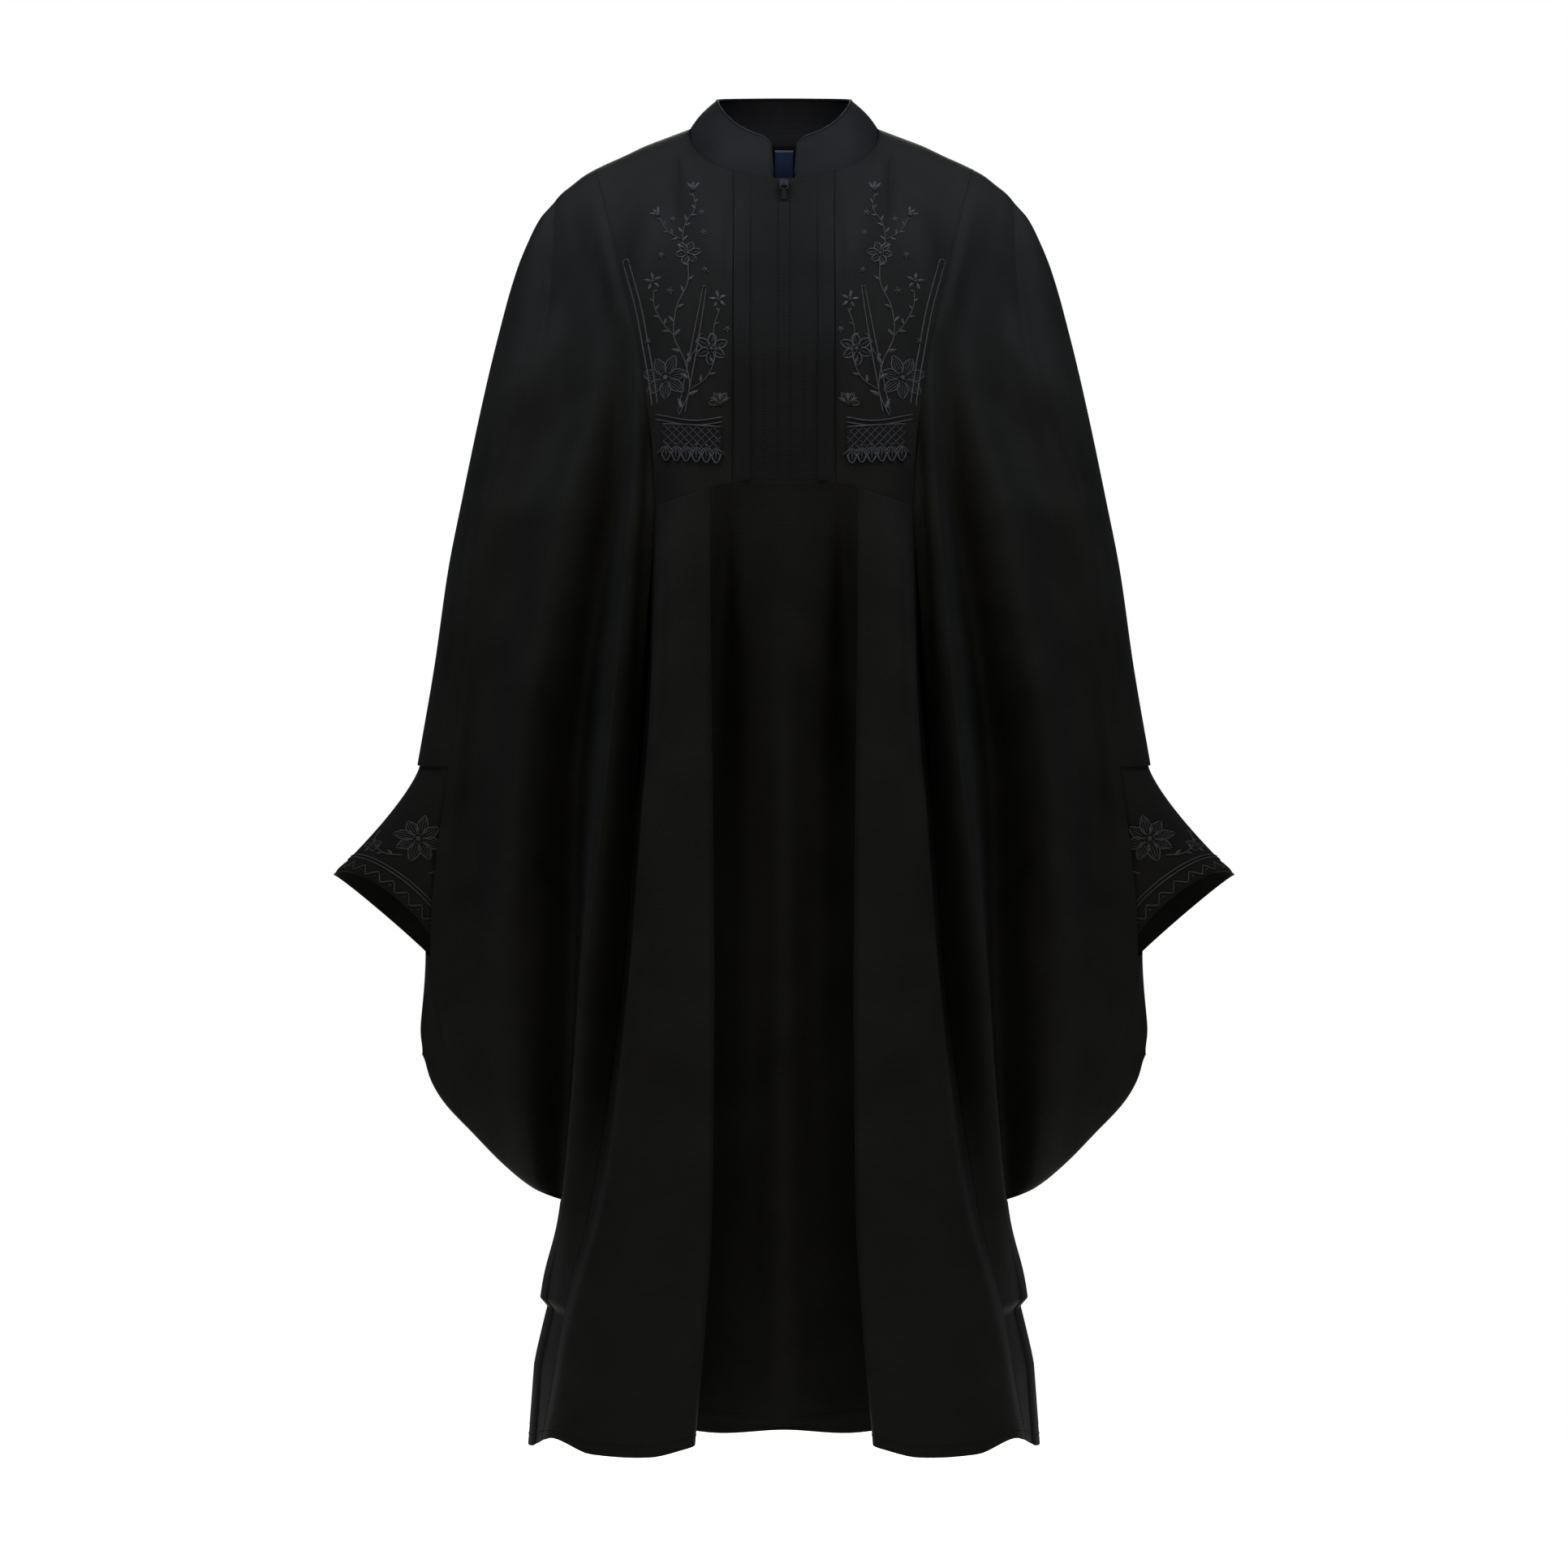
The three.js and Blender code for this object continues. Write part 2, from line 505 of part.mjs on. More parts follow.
// Side front from the shoulder to the hem; below the wing only the strip inside the side seam goes on.
// The sleeve edge is rounded all the way, and the stretch inside the side seam as it nears the tip.
function sideGrid(lines, steps, seamLine) {
  const edge = steps.length - 1;
  const nearTip = (row) => Math.max(0, (row - UPPER - HAND_ROW) / (TIP_ROW - HAND_ROW)) ** WING.roundPower;
  const full = gridFrom(lines.map((line) => line.slice(0, TIP + 1)), steps, (i, row) => {
    if (i === edge) return 1;
    return i === seamLine - 1 ? nearTip(row) : 0;
  });
  const strip = lines.slice(0, seamLine + 1).map((line) => line.slice(TIP));
  const low = gridFrom(strip, steps.slice(0, seamLine), (i) => (i === seamLine - 1 ? 1 : 0));
  const width = full[0].length;
  lowerSleeveEdge(full, width - 1 - steps[edge]);
  low.slice(1).forEach((row) => {
    while (row.length < width) row.push(row[row.length - 1].clone());
    full.push(row);
  });
  return full;
}

const seamLine = indexOf(SIDE_LINES, 'valley');
const frontSideGrid = sideGrid(sideLines, sideSteps, seamLine);
frontSideGrid[0] = rimRow(SIDE_LINES.map((line) => line.rim), sideSteps, () => false);
const openingFrom = columnsBefore(sideSteps, indexOf(SIDE_LINES, 'crease'));
const seamColumn = columnsBefore(sideSteps, seamLine);

// Cells of a side piece: none below the wing outside the side seam, none in the sleeve's opening.
function sideCells(r, c, seam, opening) {
  if (r >= TIP) return c < seam;
  const inOpening = c >= opening && r >= UPPER + WRIST_ROW && r < UPPER + HAND_ROW;
  return !inOpening;
}

function makeSideFront() {
  return new Panel('side_front', frontSideGrid, {
    side: -1,
    keep: (r, c) => sideCells(r, c, seamColumn, openingFrom),
  });
}

// Yoke between the tuck and the princess seam, hung from the neck and the shoulder.
function yokeGrid() {
  const lines = [
    ...YOKE_LINES.map((line) => upperLine(line, -1, line.rim <= 90)),
    frontSideGrid.slice(0, UPPER + 1).map((row) => row[0]),
  ];
  const steps = YOKE_LINES.map((line) => line.steps);
  const rims = [...YOKE_LINES.map((line) => line.rim), SIDE_LINES[0].rim];
  const grid = gridFrom(lines, steps);
  grid[0] = rimRow(rims, steps, (rim) => rim <= 90);
  grid[UPPER] = straightRow(grid[UPPER]);
  return grid;
}

// Points along the rim itself, so that pieces sewn there share them.
function rimRow(rims, steps, onNeck) {
  const places = steps.flatMap((count, i) => (
    Array.from({ length: count }, (u, k) => mix(rims[i], rims[i + 1], k / count))
  ));
  places.push(rims[rims.length - 1]);
  return places.map((rim) => rimPoint(rim, onNeck(rim)));
}

// The same row with its heights on the waist seam's straight slope.
const straightRow = (row) => row.map((p) => new THREE.Vector3(p.x, p.y, waistZ(p.x)));

function makeYoke() {
  const grid = yokeGrid();
  return new Panel('yoke', grid, { side: -1, levelRow: UPPER, levelTo: grid[0].length - 2 });
}

// Placket half from the zip to the outer edge of its tuck, which stands proud by the fold's thickness.
function placketGrid() {
  const edge = YOKE_LINES[0];
  const scale = NECK.halfWidth;
  const lines = PLACKET_LINES.map(({ angle, name }) => {
    const x = name === 'tuckEdge' ? edge.x[4] : scale * Math.sin(radians(angle));
    const t = (x / edge.x[4]) ** 2;
    const top = neckPoint(angle);
    return UPPER_ROWS.map((share) => {
      if (share === 0) return top.clone();
      const centre = depthThrough(UPPER_STATIONS, PLACKET_DEPTH.centre, share);
      const side = depthThrough(UPPER_STATIONS, PLACKET_DEPTH.edge, share);
      const out = mix(centre, side, t);
      return new THREE.Vector3(x, -out, mix(top.z, PLACKET.seamZ, share));
    });
  });
  return lines[0].map((unused, row) => lines.map((line) => line[row]));
}

function makePlacket() {
  const stepTop = PLACKET_LINES.findIndex((line) => line.name === 'stepTop');
  return new Panel('placket', placketGrid(), {
    levelRow: UPPER,
    raise: (r, c) => (c >= stepTop ? PLACKET.tuckRaise : 0),
  });
}

// Lower front: the recessed centre panel and the front skirt with its pleat's return.
function lowerFrontLines(table) {
  return table.map((line) => {
    const hem = table === CENTRE_LINES ? centreHemZ : frontHemZ;
    return lowerLine(line.x, line.out, 0, -1, hem);
  });
}

function skirtGrids() {
  const centre = lowerFrontLines(CENTRE_LINES);
  const skirt = lowerFrontLines(SKIRT_LINES);
  const princess = frontSideGrid.slice(UPPER).map((row) => row[0]);
  const foldB = frontSideGrid.slice(UPPER).map((row) => row[sideSteps[0]]);
  const lines = [...centre, ...skirt, princess, foldB];
  const steps = [...CENTRE_LINES, ...SKIRT_LINES].map((line) => line.steps);
  const whole = gridFrom(lines, [...steps, 1]);
  const centreColumns = CENTRE_LINES.reduce((total, line) => total + line.steps, 0);
  const skirtColumns = SKIRT_LINES.reduce((total, line) => total + line.steps, 0);
  whole[0] = straightRow(whole[0]);
  return {
    centre: whole.map((row) => row.slice(0, centreColumns + 1)),
    skirt: whole.map((row) => row.slice(centreColumns, centreColumns + skirtColumns + 1)),
  };
}

// One grid over both halves, from the wearer's right edge to the left.
const bothHalves = (grid) => grid.map((row) => [...row.slice(1).reverse().map(mirrorPoint), ...row]);

const lower = skirtGrids();

const makeFrontSkirt = () => new Panel('front_skirt', lower.skirt, {
  levelRow: 0, levelTo: lower.skirt[0].length - 2, pull: SKIRT_PULL,
});
const makeCentrePanel = () => new Panel('centre_panel', bothHalves(lower.centre), { levelRow: 0 });

// Back in one piece: its own lines, with the side seam, wing and sleeve edge shared with the front.
function makeBack() {
  const steps = BACK_LINES.slice(0, -1).map((line) => line.steps);
  const lines = BACK_LINES.map((line, i) => fullLine(line, 1, i <= indexOf(BACK_LINES, 'backRidge')));
  const seam = indexOf(BACK_LINES, 'backSide');
  const neckEnd = indexOf(BACK_LINES, 'backRidge');
  const seamAt = columnsBefore(steps, seam);
  const capAt = columnsBefore(steps, indexOf(BACK_LINES, 'backCrease'));
  const grid = sideGrid(lines, steps, seam);
  const rims = BACK_LINES.map((line) => line.rim);
  const neck = rimRow(rims.slice(0, neckEnd + 1), steps.slice(0, neckEnd), () => true);
  const shoulder = rimRow(rims.slice(neckEnd), steps.slice(neckEnd), () => false);
  grid[0] = [...neck, ...shoulder.slice(1)];
  const half = grid[0].length - 1;
  // The rows meet the front's rows along the seam, so the shared points are the front's own.
  const frontWidth = frontSideGrid[0].length - 1;
  grid.forEach((row, r) => {
    if (r <= TIP) row[half] = frontSideGrid[r][frontWidth].clone();
    if (r >= TIP) row[seamAt] = frontSideGrid[r][seamColumn].clone();
  });
  return new Panel('back', bothHalves(grid), {
    facing: -1,
    side: 1,
    keep: (r, c) => sideCells(r, c >= half ? c - half : half - 1 - c, seamAt, capAt),
  });
}

// Collar: a soft funnel from the neck seam, with a thicker piped top edge and a slit in front. Its
// columns are those of the yoke and the back, so that the seam's points are shared.
function collarTop(angle) {
  const share = (angle - COLLAR.slitAngle) / (90 - COLLAR.slitAngle);
  const turn = radians(angle < 90 ? mix(COLLAR.topSlitAngle, 90, share) : angle);
  const c = Math.cos(turn);
  const y = c > 0 ? -COLLAR.topFront * c : -COLLAR.topBack * c;
  const z = c > 0 ? -COLLAR.topFrontDrop * c ** COLLAR.power : -COLLAR.topBackRise * c;
  return new THREE.Vector3(COLLAR.topHalfWidth * Math.sin(turn), y, COLLAR.topSideZ + z);
}

function collarAngles() {
  const front = PLACKET_LINES.slice(1).map((line) => line.angle);
  const between = (from, to, n) => Array.from({ length: n }, (u, i) => mix(from, to, (i + 1) / n));
  const beforeSide = YOKE_LINES.slice(0, indexOf(YOKE_LINES, 'neckSide'))
    .flatMap((line, i) => between(line.rim, YOKE_LINES[i + 1].rim, line.steps));
  const behind = BACK_LINES.slice(0, indexOf(BACK_LINES, 'backRidge'))
    .map((line, i) => between(BACK_LINES[i + 1].rim, line.rim, line.steps))
    .reverse()
    .flat();
  return [...front, ...beforeSide, ...behind];
}

function makeCollar() {
  const angles = collarAngles();
  const grid = COLLAR.heights.map((h) => angles.map((angle, c) => {
    const reach = h * (c === 0 ? COLLAR.endShare : 1);
    const swell = COLLAR.swell * Math.sin(Math.PI * h);
    const out = new THREE.Vector3(Math.sin(radians(angle)), -Math.cos(radians(angle)), 0);
    return neckPoint(angle).lerp(collarTop(angle), reach).addScaledVector(out, swell);
  }));
  const whole = grid.map((row) => [...row, ...row.slice(0, -1).reverse().map(mirrorPoint)]);
  return new Panel('collar', whole, {
    facing: -1,
    raise: (r) => (COLLAR.heights[r] >= COLLAR.pipingFrom ? COLLAR.piping : 0),
  });
}

// Cuff: its upper end lies inside the sleeve, a seam gap off the wall; it opens into a bell.
function makeCuff(sideFront, back, met) {
  const inset = WALL + SEAM_GAP;
  const ringAt = (row) => {
    const take = (panel) => Array.from({ length: CROSS_STEPS + 1 }, (u, k) => {
      const p = panel.point(row, panel.columns - 1 - k);
      return p.clone().addScaledVector(outward(met, p, k === 0), -inset);
    });
    const upper = [...take(back).reverse(), ...take(sideFront).slice(1)];
    const start = upper[0];
    const end = upper[upper.length - 1];
    const hub = start.clone().add(end).multiplyScalar(0.5);
    const count = 2 * CROSS_STEPS;
    const hollow = Array.from({ length: count - 1 }, (u, k) => {
      const turn = (Math.PI * (k + 1)) / count;
      const reach = CUFF.innerReach * Math.sin(turn);
      return new THREE.Vector3(
        hub.x - reach, mix(hub.y, end.y, Math.cos(turn)), mix(hub.z, end.z, Math.abs(Math.cos(turn))),
      );
    });
    return [...upper, ...hollow];
  };
  const tucked = [UPPER + WRIST_ROW - 1, UPPER + WRIST_ROW].map(ringAt);
  const last = tucked[1];
  const [tip, inner] = [CUFF.tip, CUFF.inner].map(([x, z]) => new THREE.Vector3(x, 0, z));
  const hub = tip.clone().add(inner).multiplyScalar(0.5);
  const across = tip.clone().sub(inner).multiplyScalar(0.5);
  const down = new THREE.Vector3(across.z, 0, -across.x).normalize();
  const mouth = last.map((unused, k) => {
    const turn = (2 * Math.PI * (k - CROSS_STEPS)) / last.length;
    const ahead = Math.max(0, Math.sin(turn));
    return hub.clone().addScaledVector(across, Math.cos(turn))
      .add(new THREE.Vector3(0, -CUFF.halfDepth * Math.sin(turn), 0))
      .addScaledVector(down, -CUFF.frontLift * ahead);
  });
  const rings = Array.from({ length: CUFF.rings }, (u, i) => {
    const t = (i + 1) / CUFF.rings;
    return last.map((p, k) => {
      const q = mouth[k];
      const outwards = t ** CUFF.flare;
      return new THREE.Vector3(mix(p.x, q.x, outwards), mix(p.y, q.y, t), mix(p.z, q.z, t));
    });
  });
  const grid = [...tucked, ...rings].map((ring) => [...ring, ring[0].clone()]);
  return new Panel('cuff', grid, { wall: CUFF.wall, closed: true, pull: 0, facing: -1, sewn: false });
}

// ---------------------------------------------------------------- pieces laid on a panel
// Point on a panel's skin at a given x and z, with the way out of it there.
function onPanel(panel, x, z) {
  for (const face of panel.faces()) {
    const [a, b, c] = face.map(([r, k]) => panel.point(r, k));
    const area = (b.x - a.x) * (c.z - a.z) - (c.x - a.x) * (b.z - a.z);
    const u = ((x - a.x) * (c.z - a.z) - (c.x - a.x) * (z - a.z)) / area;
    const v = ((b.x - a.x) * (z - a.z) - (x - a.x) * (b.z - a.z)) / area;
    if (u >= -1e-6 && v >= -1e-6 && u + v <= 1 + 1e-6) {
      const point = a.clone().addScaledVector(b.clone().sub(a), u).addScaledVector(c.clone().sub(a), v);
      const way = c.clone().sub(a).cross(b.clone().sub(a)).multiplyScalar(panel.facing).normalize();
      return { point, way };
    }
  }
  return null;
}

// Scalloped band over the foot of the yoke.
function makeTrim(yoke) {
  const columns = TRIM.scallops * TRIM.samples;
  const grid = Array.from({ length: TRIM.rows + 1 }, (u, r) => Array.from({ length: columns + 1 }, (w, c) => {
    const t = c / columns;
    const x = mix(TRIM.fromX, TRIM.toX, t);
    const lobe = Math.abs(Math.sin(Math.PI * TRIM.scallops * t));
    const bottom = TRIM.bottomZ - TRIM.scallopDrop * lobe ** TRIM.scallopPower;
    const z = mix(TRIM.topZ, bottom, r / TRIM.rows) + TRIM.outerRise * t;
    const { point, way } = onPanel(yoke, x, z);
    return point.addScaledVector(way, LAY_ON_GAP + TRIM.wall);
  }));
  return new Panel('trim', grid, { wall: TRIM.wall, pull: 0, sewn: false });
}

// Plain label hung from the neck seam inside the back.
function makeLabel(back) {
  const grid = Array.from({ length: LABEL.rows }, (u, r) => [-1, 0, 1].map((side) => {
    const z = LABEL.topZ - (LABEL.length * r) / (LABEL.rows - 1);
    const { point, way } = onPanel(back, side * LABEL.halfWidth, z);
    return point.addScaledVector(way, -(WALL + LAY_ON_GAP));
  }));
  return new Panel('neck_label', grid, { wall: LABEL.wall, pull: 0, facing: -1, sewn: false });
}

// ---------------------------------------------------------------- zip slider and pull
const wasm = await Module();
wasm.setup();

function solid(geometry) {
  geometry.deleteAttribute('normal');
  geometry.deleteAttribute('uv');
  const merged = mergeVertices(geometry, 1e-4);
  return new wasm.Manifold(new wasm.Mesh({
    numProp: 3,
    vertProperties: new Float32Array(merged.attributes.position.array),
    triVerts: new Uint32Array(merged.index.array),
  }));
}

function block(width, depth, height, x, y, z) {
  const geometry = new THREE.BoxGeometry(width, depth, height);
  geometry.translate(x, y, z);
  return solid(geometry);
}

// Rod along X.
function rod(radius, length, y, z, sides) {
  const geometry = new THREE.CylinderGeometry(radius, radius, length, sides);
  geometry.rotateZ(Math.PI / 2);
  geometry.translate(0, y, z);
  return solid(geometry);
}

// Upright plate with its front at y - depth, hung from a neck narrower than itself, round below.
function plate(size, y, top) {
  const { width, height, depth, corner, neckWidth, neckHeight } = size;
  const [w, n] = [width / 2, neckWidth / 2];
  const shape = new THREE.Shape();
  shape.moveTo(-n, 0);
  shape.lineTo(-n, -neckHeight);
  shape.lineTo(-w, -neckHeight - (w - n));
  shape.lineTo(-w, -height + corner);
  shape.quadraticCurveTo(-w, -height, -w + corner, -height);
  shape.lineTo(w - corner, -height);
  shape.quadraticCurveTo(w, -height, w, -height + corner);
  shape.lineTo(w, -neckHeight - (w - n));
  shape.lineTo(n, -neckHeight);
  const geometry = new THREE.ExtrudeGeometry(shape, { depth, bevelEnabled: false, curveSegments: 4 });
  geometry.rotateX(Math.PI / 2);
  geometry.translate(0, y, top);
  return solid(geometry);
}

// Slider: a body that lies on the placket's slope, with two posts and the bar that holds the pull.
function makeSlider() {
  const back = -ZIP.offset;
  const front = back - ZIP.thick;
  const postDepth = ZIP.barOut + ZIP.barRadius;
  const postX = ZIP.postGap / 2 + ZIP.postWidth / 2;
  const postLength = postDepth + ZIP.postSunk;
  const body = plate({
    width: ZIP.width, height: ZIP.height, depth: ZIP.thick, corner: ZIP.corner,
    neckWidth: ZIP.width - 2 * ZIP.bevel, neckHeight: ZIP.shoulder,
  }, back, ZIP.height / 2);
  const post = (side) => block(
    ZIP.postWidth, postLength, ZIP.postHeight,
    side * postX, front - postDepth + postLength / 2, ZIP.barZ,
  );
  const bar = rod(ZIP.barRadius, ZIP.postGap + 2 * ZIP.barEnd, front - ZIP.barOut, ZIP.barZ, 16);
  return body.add(post(-1)).add(post(1)).add(bar);
}

// Pull: an eye round the bar, which is here at the origin, and a tab that hangs straight down.
function makePull() {
  const eye = rod(ZIP.eyeOuter, ZIP.eyeWidth, 0, 0, 20)
    .subtract(rod(ZIP.eyeInner, ZIP.eyeWidth + 2, 0, 0, 20));
  const tab = plate({
    width: ZIP.tabWidth, height: ZIP.tabLength, depth: ZIP.tabThick, corner: ZIP.tabCorner,
    neckWidth: ZIP.eyeWidth, neckHeight: ZIP.tabNeck,
  }, ZIP.tabThick / 2, -(ZIP.eyeInner + ZIP.eyeOuter) / 2);
  return eye.add(tab);
}

function fromManifold(part, at, lean) {
  const mesh = part.getMesh();
  const geometry = new THREE.BufferGeometry();
  geometry.setAttribute('position', new THREE.Float32BufferAttribute(Array.from(mesh.vertProperties), 3));
  geometry.setIndex(Array.from(mesh.triVerts));
  geometry.rotateX(lean);
  geometry.translate(at.x, at.y, at.z);
  geometry.computeVertexNormals();
  return geometry;
}

// ---------------------------------------------------------------- materials
const cloth = () => new THREE.MeshStandardMaterial({ color: '#141416', roughness: 0.85, metalness: 0 });
const lace = () => new THREE.MeshStandardMaterial({ color: '#101012', roughness: 0.7, metalness: 0 });
const labelCloth = () => new THREE.MeshStandardMaterial({ color: '#1d2438', roughness: 0.8, metalness: 0 });
const blackMetal = () => new THREE.MeshStandardMaterial({ color: '#1b1b1d', roughness: 0.4, metalness: 0.6 });

// ---------------------------------------------------------------- the garment
const sideFront = makeSideFront();
const yoke = makeYoke();
const placket = makePlacket();
const frontSkirt = makeFrontSkirt();
const centrePanel = makeCentrePanel();
const back = makeBack();
const collar = makeCollar();

// A panel's mirrored twin, whose faces turn the other way.
const twin = (panel) => new Panel(panel.name, panel.grid.map((row) => row.map(mirrorPoint)), {
  ...panel, facing: -panel.facing,
});

const halves = [sideFront, yoke, placket, frontSkirt];
const sewn = gatherNormals([...halves, ...halves.map(twin), centrePanel, back, collar]);
const cuff = makeCuff(sideFront, back, sewn);
const trim = makeTrim(yoke);
const label = makeLabel(back);
const laidOn = gatherNormals([cuff, trim, label]);

const manteau = new THREE.Group();
manteau.name = 'manteau';

function addMesh(name, geometry, material) {
  const mesh = new THREE.Mesh(geometry, material);
  mesh.name = name;
  manteau.add(mesh);
}

function addPair(panel, met, material) {
  const skin = shell(panel, met);
  addMesh(`${panel.name}_left`, geometryOf(skin), material());
  addMesh(`${panel.name}_right`, geometryOf(skin, true), material());
}

halves.forEach((panel) => addPair(panel, sewn, cloth));
[centrePanel, back, collar].forEach((panel) => addMesh(panel.name, geometryOf(shell(panel, sewn)), cloth()));
addPair(cuff, laidOn, cloth);
addPair(trim, laidOn, lace);
addMesh(label.name, geometryOf(shell(label, laidOn)), labelCloth());

// The slider lies on the placket beside the zip; its bar is the pull's hinge.
const seat = onPanel(placket, ZIP.seatX, ZIP.middleZ);
const lean = Math.atan2(-seat.way.z, -seat.way.y);
const sliderAt = new THREE.Vector3(0, seat.point.y, ZIP.middleZ);
const hinge = new THREE.Vector3(0, -(ZIP.offset + ZIP.thick + ZIP.barOut), ZIP.barZ)
  .applyAxisAngle(new THREE.Vector3(1, 0, 0), lean)
  .add(sliderAt);
addMesh('zip_slider', fromManifold(makeSlider(), sliderAt, lean), blackMetal());
addMesh('zip_pull', fromManifold(makePull(), hinge, 0), blackMetal());

export default manteau;
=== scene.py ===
import logging
import math
from dataclasses import dataclass, field, replace
from enum import Enum

import bpy
import numpy as np
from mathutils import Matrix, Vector
from mathutils.bvhtree import BVHTree


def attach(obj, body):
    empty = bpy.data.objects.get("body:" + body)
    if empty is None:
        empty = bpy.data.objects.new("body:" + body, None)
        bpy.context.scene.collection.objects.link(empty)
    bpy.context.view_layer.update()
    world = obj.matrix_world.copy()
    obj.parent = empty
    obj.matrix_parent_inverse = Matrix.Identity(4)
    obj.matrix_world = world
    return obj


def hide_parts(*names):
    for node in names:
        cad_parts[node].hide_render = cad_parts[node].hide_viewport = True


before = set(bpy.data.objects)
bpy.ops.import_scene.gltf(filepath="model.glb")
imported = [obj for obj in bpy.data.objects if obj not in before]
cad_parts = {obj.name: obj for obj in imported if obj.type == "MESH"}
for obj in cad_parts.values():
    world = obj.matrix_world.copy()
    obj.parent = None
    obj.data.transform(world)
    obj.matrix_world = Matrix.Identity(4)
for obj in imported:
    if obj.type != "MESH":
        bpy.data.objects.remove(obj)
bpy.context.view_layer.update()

LOG = logging.getLogger("manteau")
MM = 0.001
GARMENT = "garment"


# ---------------------------------------------------------------- sizes of the garment, in mm
class Side(Enum):
    """Halves of the garment, with the sign of their x."""

    LEFT = 1
    RIGHT = -1


@dataclass(frozen=True)
class FoldLine:
    """A fold or seam that runs down the garment: its place and depth at named heights.

    Upper lines are placed at rim, collarbone, armhole, bust and waist, lower ones at waist,
    wrist, hand, tip, bump and hem. `rim` is where the line meets the neck (its angle) or the
    shoulder, `rise` its share of the sleeve edge's lift, `steps` the cells to the next line.
    """

    name: str
    steps: int
    x: tuple[float, ...]
    out: tuple[float, ...]
    rim: float = 0.0
    rise: float = 0.0
    power: float = 2.0


@dataclass(frozen=True)
class Sizes:
    """Sizes of the neck, collar, waist, wings, hem, cuffs and trims."""

    neck_half: float = 88.0
    neck_front: float = 80.0
    neck_back: float = 70.0
    neck_side_z: float = 5.0
    neck_front_drop: float = 57.0
    neck_back_drop: float = 7.0
    neck_power: float = 0.85
    slit_angle: float = 6.5
    top_slit_angle: float = 12.0
    top_half: float = 63.0
    top_front: float = 60.0
    top_back: float = 62.0
    top_side_z: float = 32.0
    top_front_drop: float = 45.0
    top_back_rise: float = 10.0
    top_power: float = 1.3
    collar_swell: float = 2.5
    slit_end: float = 0.14
    slit_corner: float = 14.0
    seam_z: float = -335.0
    tuck_angle: float = 20.2
    tuck_top_angle: float = 21.0
    tuck_raise: float = 1.3
    waist_inner_x: float = 46.0
    waist_outer_x: float = 117.0
    waist_outer_z: float = -356.0
    sleeve_rise: float = 9.0
    wrist_z: float = -605.0
    hand_z: float = -797.0
    tip_z: float = -1000.0
    bump_z: float = -1086.0
    wing_tip_x: float = 209.0
    wing_corner_x: float = 344.0
    wing_corner_z: float = -865.0
    wrist_lift: float = 13.0
    hand_lift: float = 31.0
    wing_power: float = 1.55
    wing_round: float = 1.5
    hem_front_z: float = -1204.0
    hem_side_z: float = -1228.0
    hem_half: float = 240.0
    hem_centre_z: float = -1198.0
    hem_centre_rise: float = 6.0
    hem_centre_x: float = 91.0
    hem_back_z: float = -1250.0
    corner_pull: float = 5.0
    corner_reach: float = 17.0
    corner_push: float = 4.5
    push_in: float = 26.0
    push_down: float = 40.0
    slit_z: float = -1090.0
    slit_nick: float = 9.0
    slit_fade: float = 60.0
    wave_height: float = 70.0


SIZE = Sizes()
WALL = 1.1
SLEEVE_INSET = 2.3
FLOOR_Z = -1.45
BAND_SCALE = 0.31
ROW_FINE = 4
COLUMN_FINE = 4
CAP_STEPS = 4

OUTLINE_X = (88, 109, 130, 151, 171, 187.5, 199, 210, 223, 238, 251.5, 269, 283.5, 303, 315, 328, 344)
OUTLINE_Z = (5, -3, -11, -21, -30, -39, -48, -57, -75, -103, -133, -194, -255, -347, -408, -499, -592)
UPPER_ROWS = (0, 0.03, 0.08, 0.15, 0.24, 0.34, 0.45, 0.56, 0.67, 0.78, 0.89, 1)
WAIST_TO_WRIST = (0, 0.22, 0.44, 0.66, 0.86)
WRIST_TO_HAND = (0, 0.2, 0.4, 0.6, 0.8)
HAND_TO_TIP = (0, 0.25, 0.48, 0.68, 0.84, 0.95)
TIP_TO_BUMP = (0, 0.34, 0.68)
BUMP_TO_HEM = (0, 0.13, 0.36, 0.64, 0.86, 1)
UPPER_STATIONS = (0, 0.08, 0.32, 0.645, 1)

YOKE_LINES = (
    FoldLine("tuck_edge", 2, (46, 46, 46, 46, 46), (68, 79, 112, 135, 141), 31.5),
    FoldLine("neck_curve", 2, (68, 75, 75, 66, 64), (51, 64, 108, 133, 141), 50.6),
    FoldLine("neck_flank", 2, (82.7, 92, 90, 77, 73), (27.4, 50, 106, 131.5, 140.3), 70),
    FoldLine("neck_side", 2, (88, 101, 103, 87, 82), (0, 37, 101, 130, 139.5), 90, power=1.4),
    FoldLine("shoulder", 2, (118, 124, 126, 107, 100), (0, 40, 93, 124, 133), 120),
)
PLACKET_ANGLES = (0, 6.5, 14, 20.2, 21, 31.5)
PLACKET_STEPS = (3, 3, 3, 1, 4)
PLACKET_CENTRE_OUT = (80, 88, 113, 136.5, 142.5)
PLACKET_EDGE_OUT = (68, 79, 112, 135, 141)
SLEEVE_EDGE = FoldLine(
    "edge", 0, (230, 236, 252, 281, 303, 344, 336.5, 344), (0, 0, 0, 0, 0, 0, 0, 0), 232, 1
)
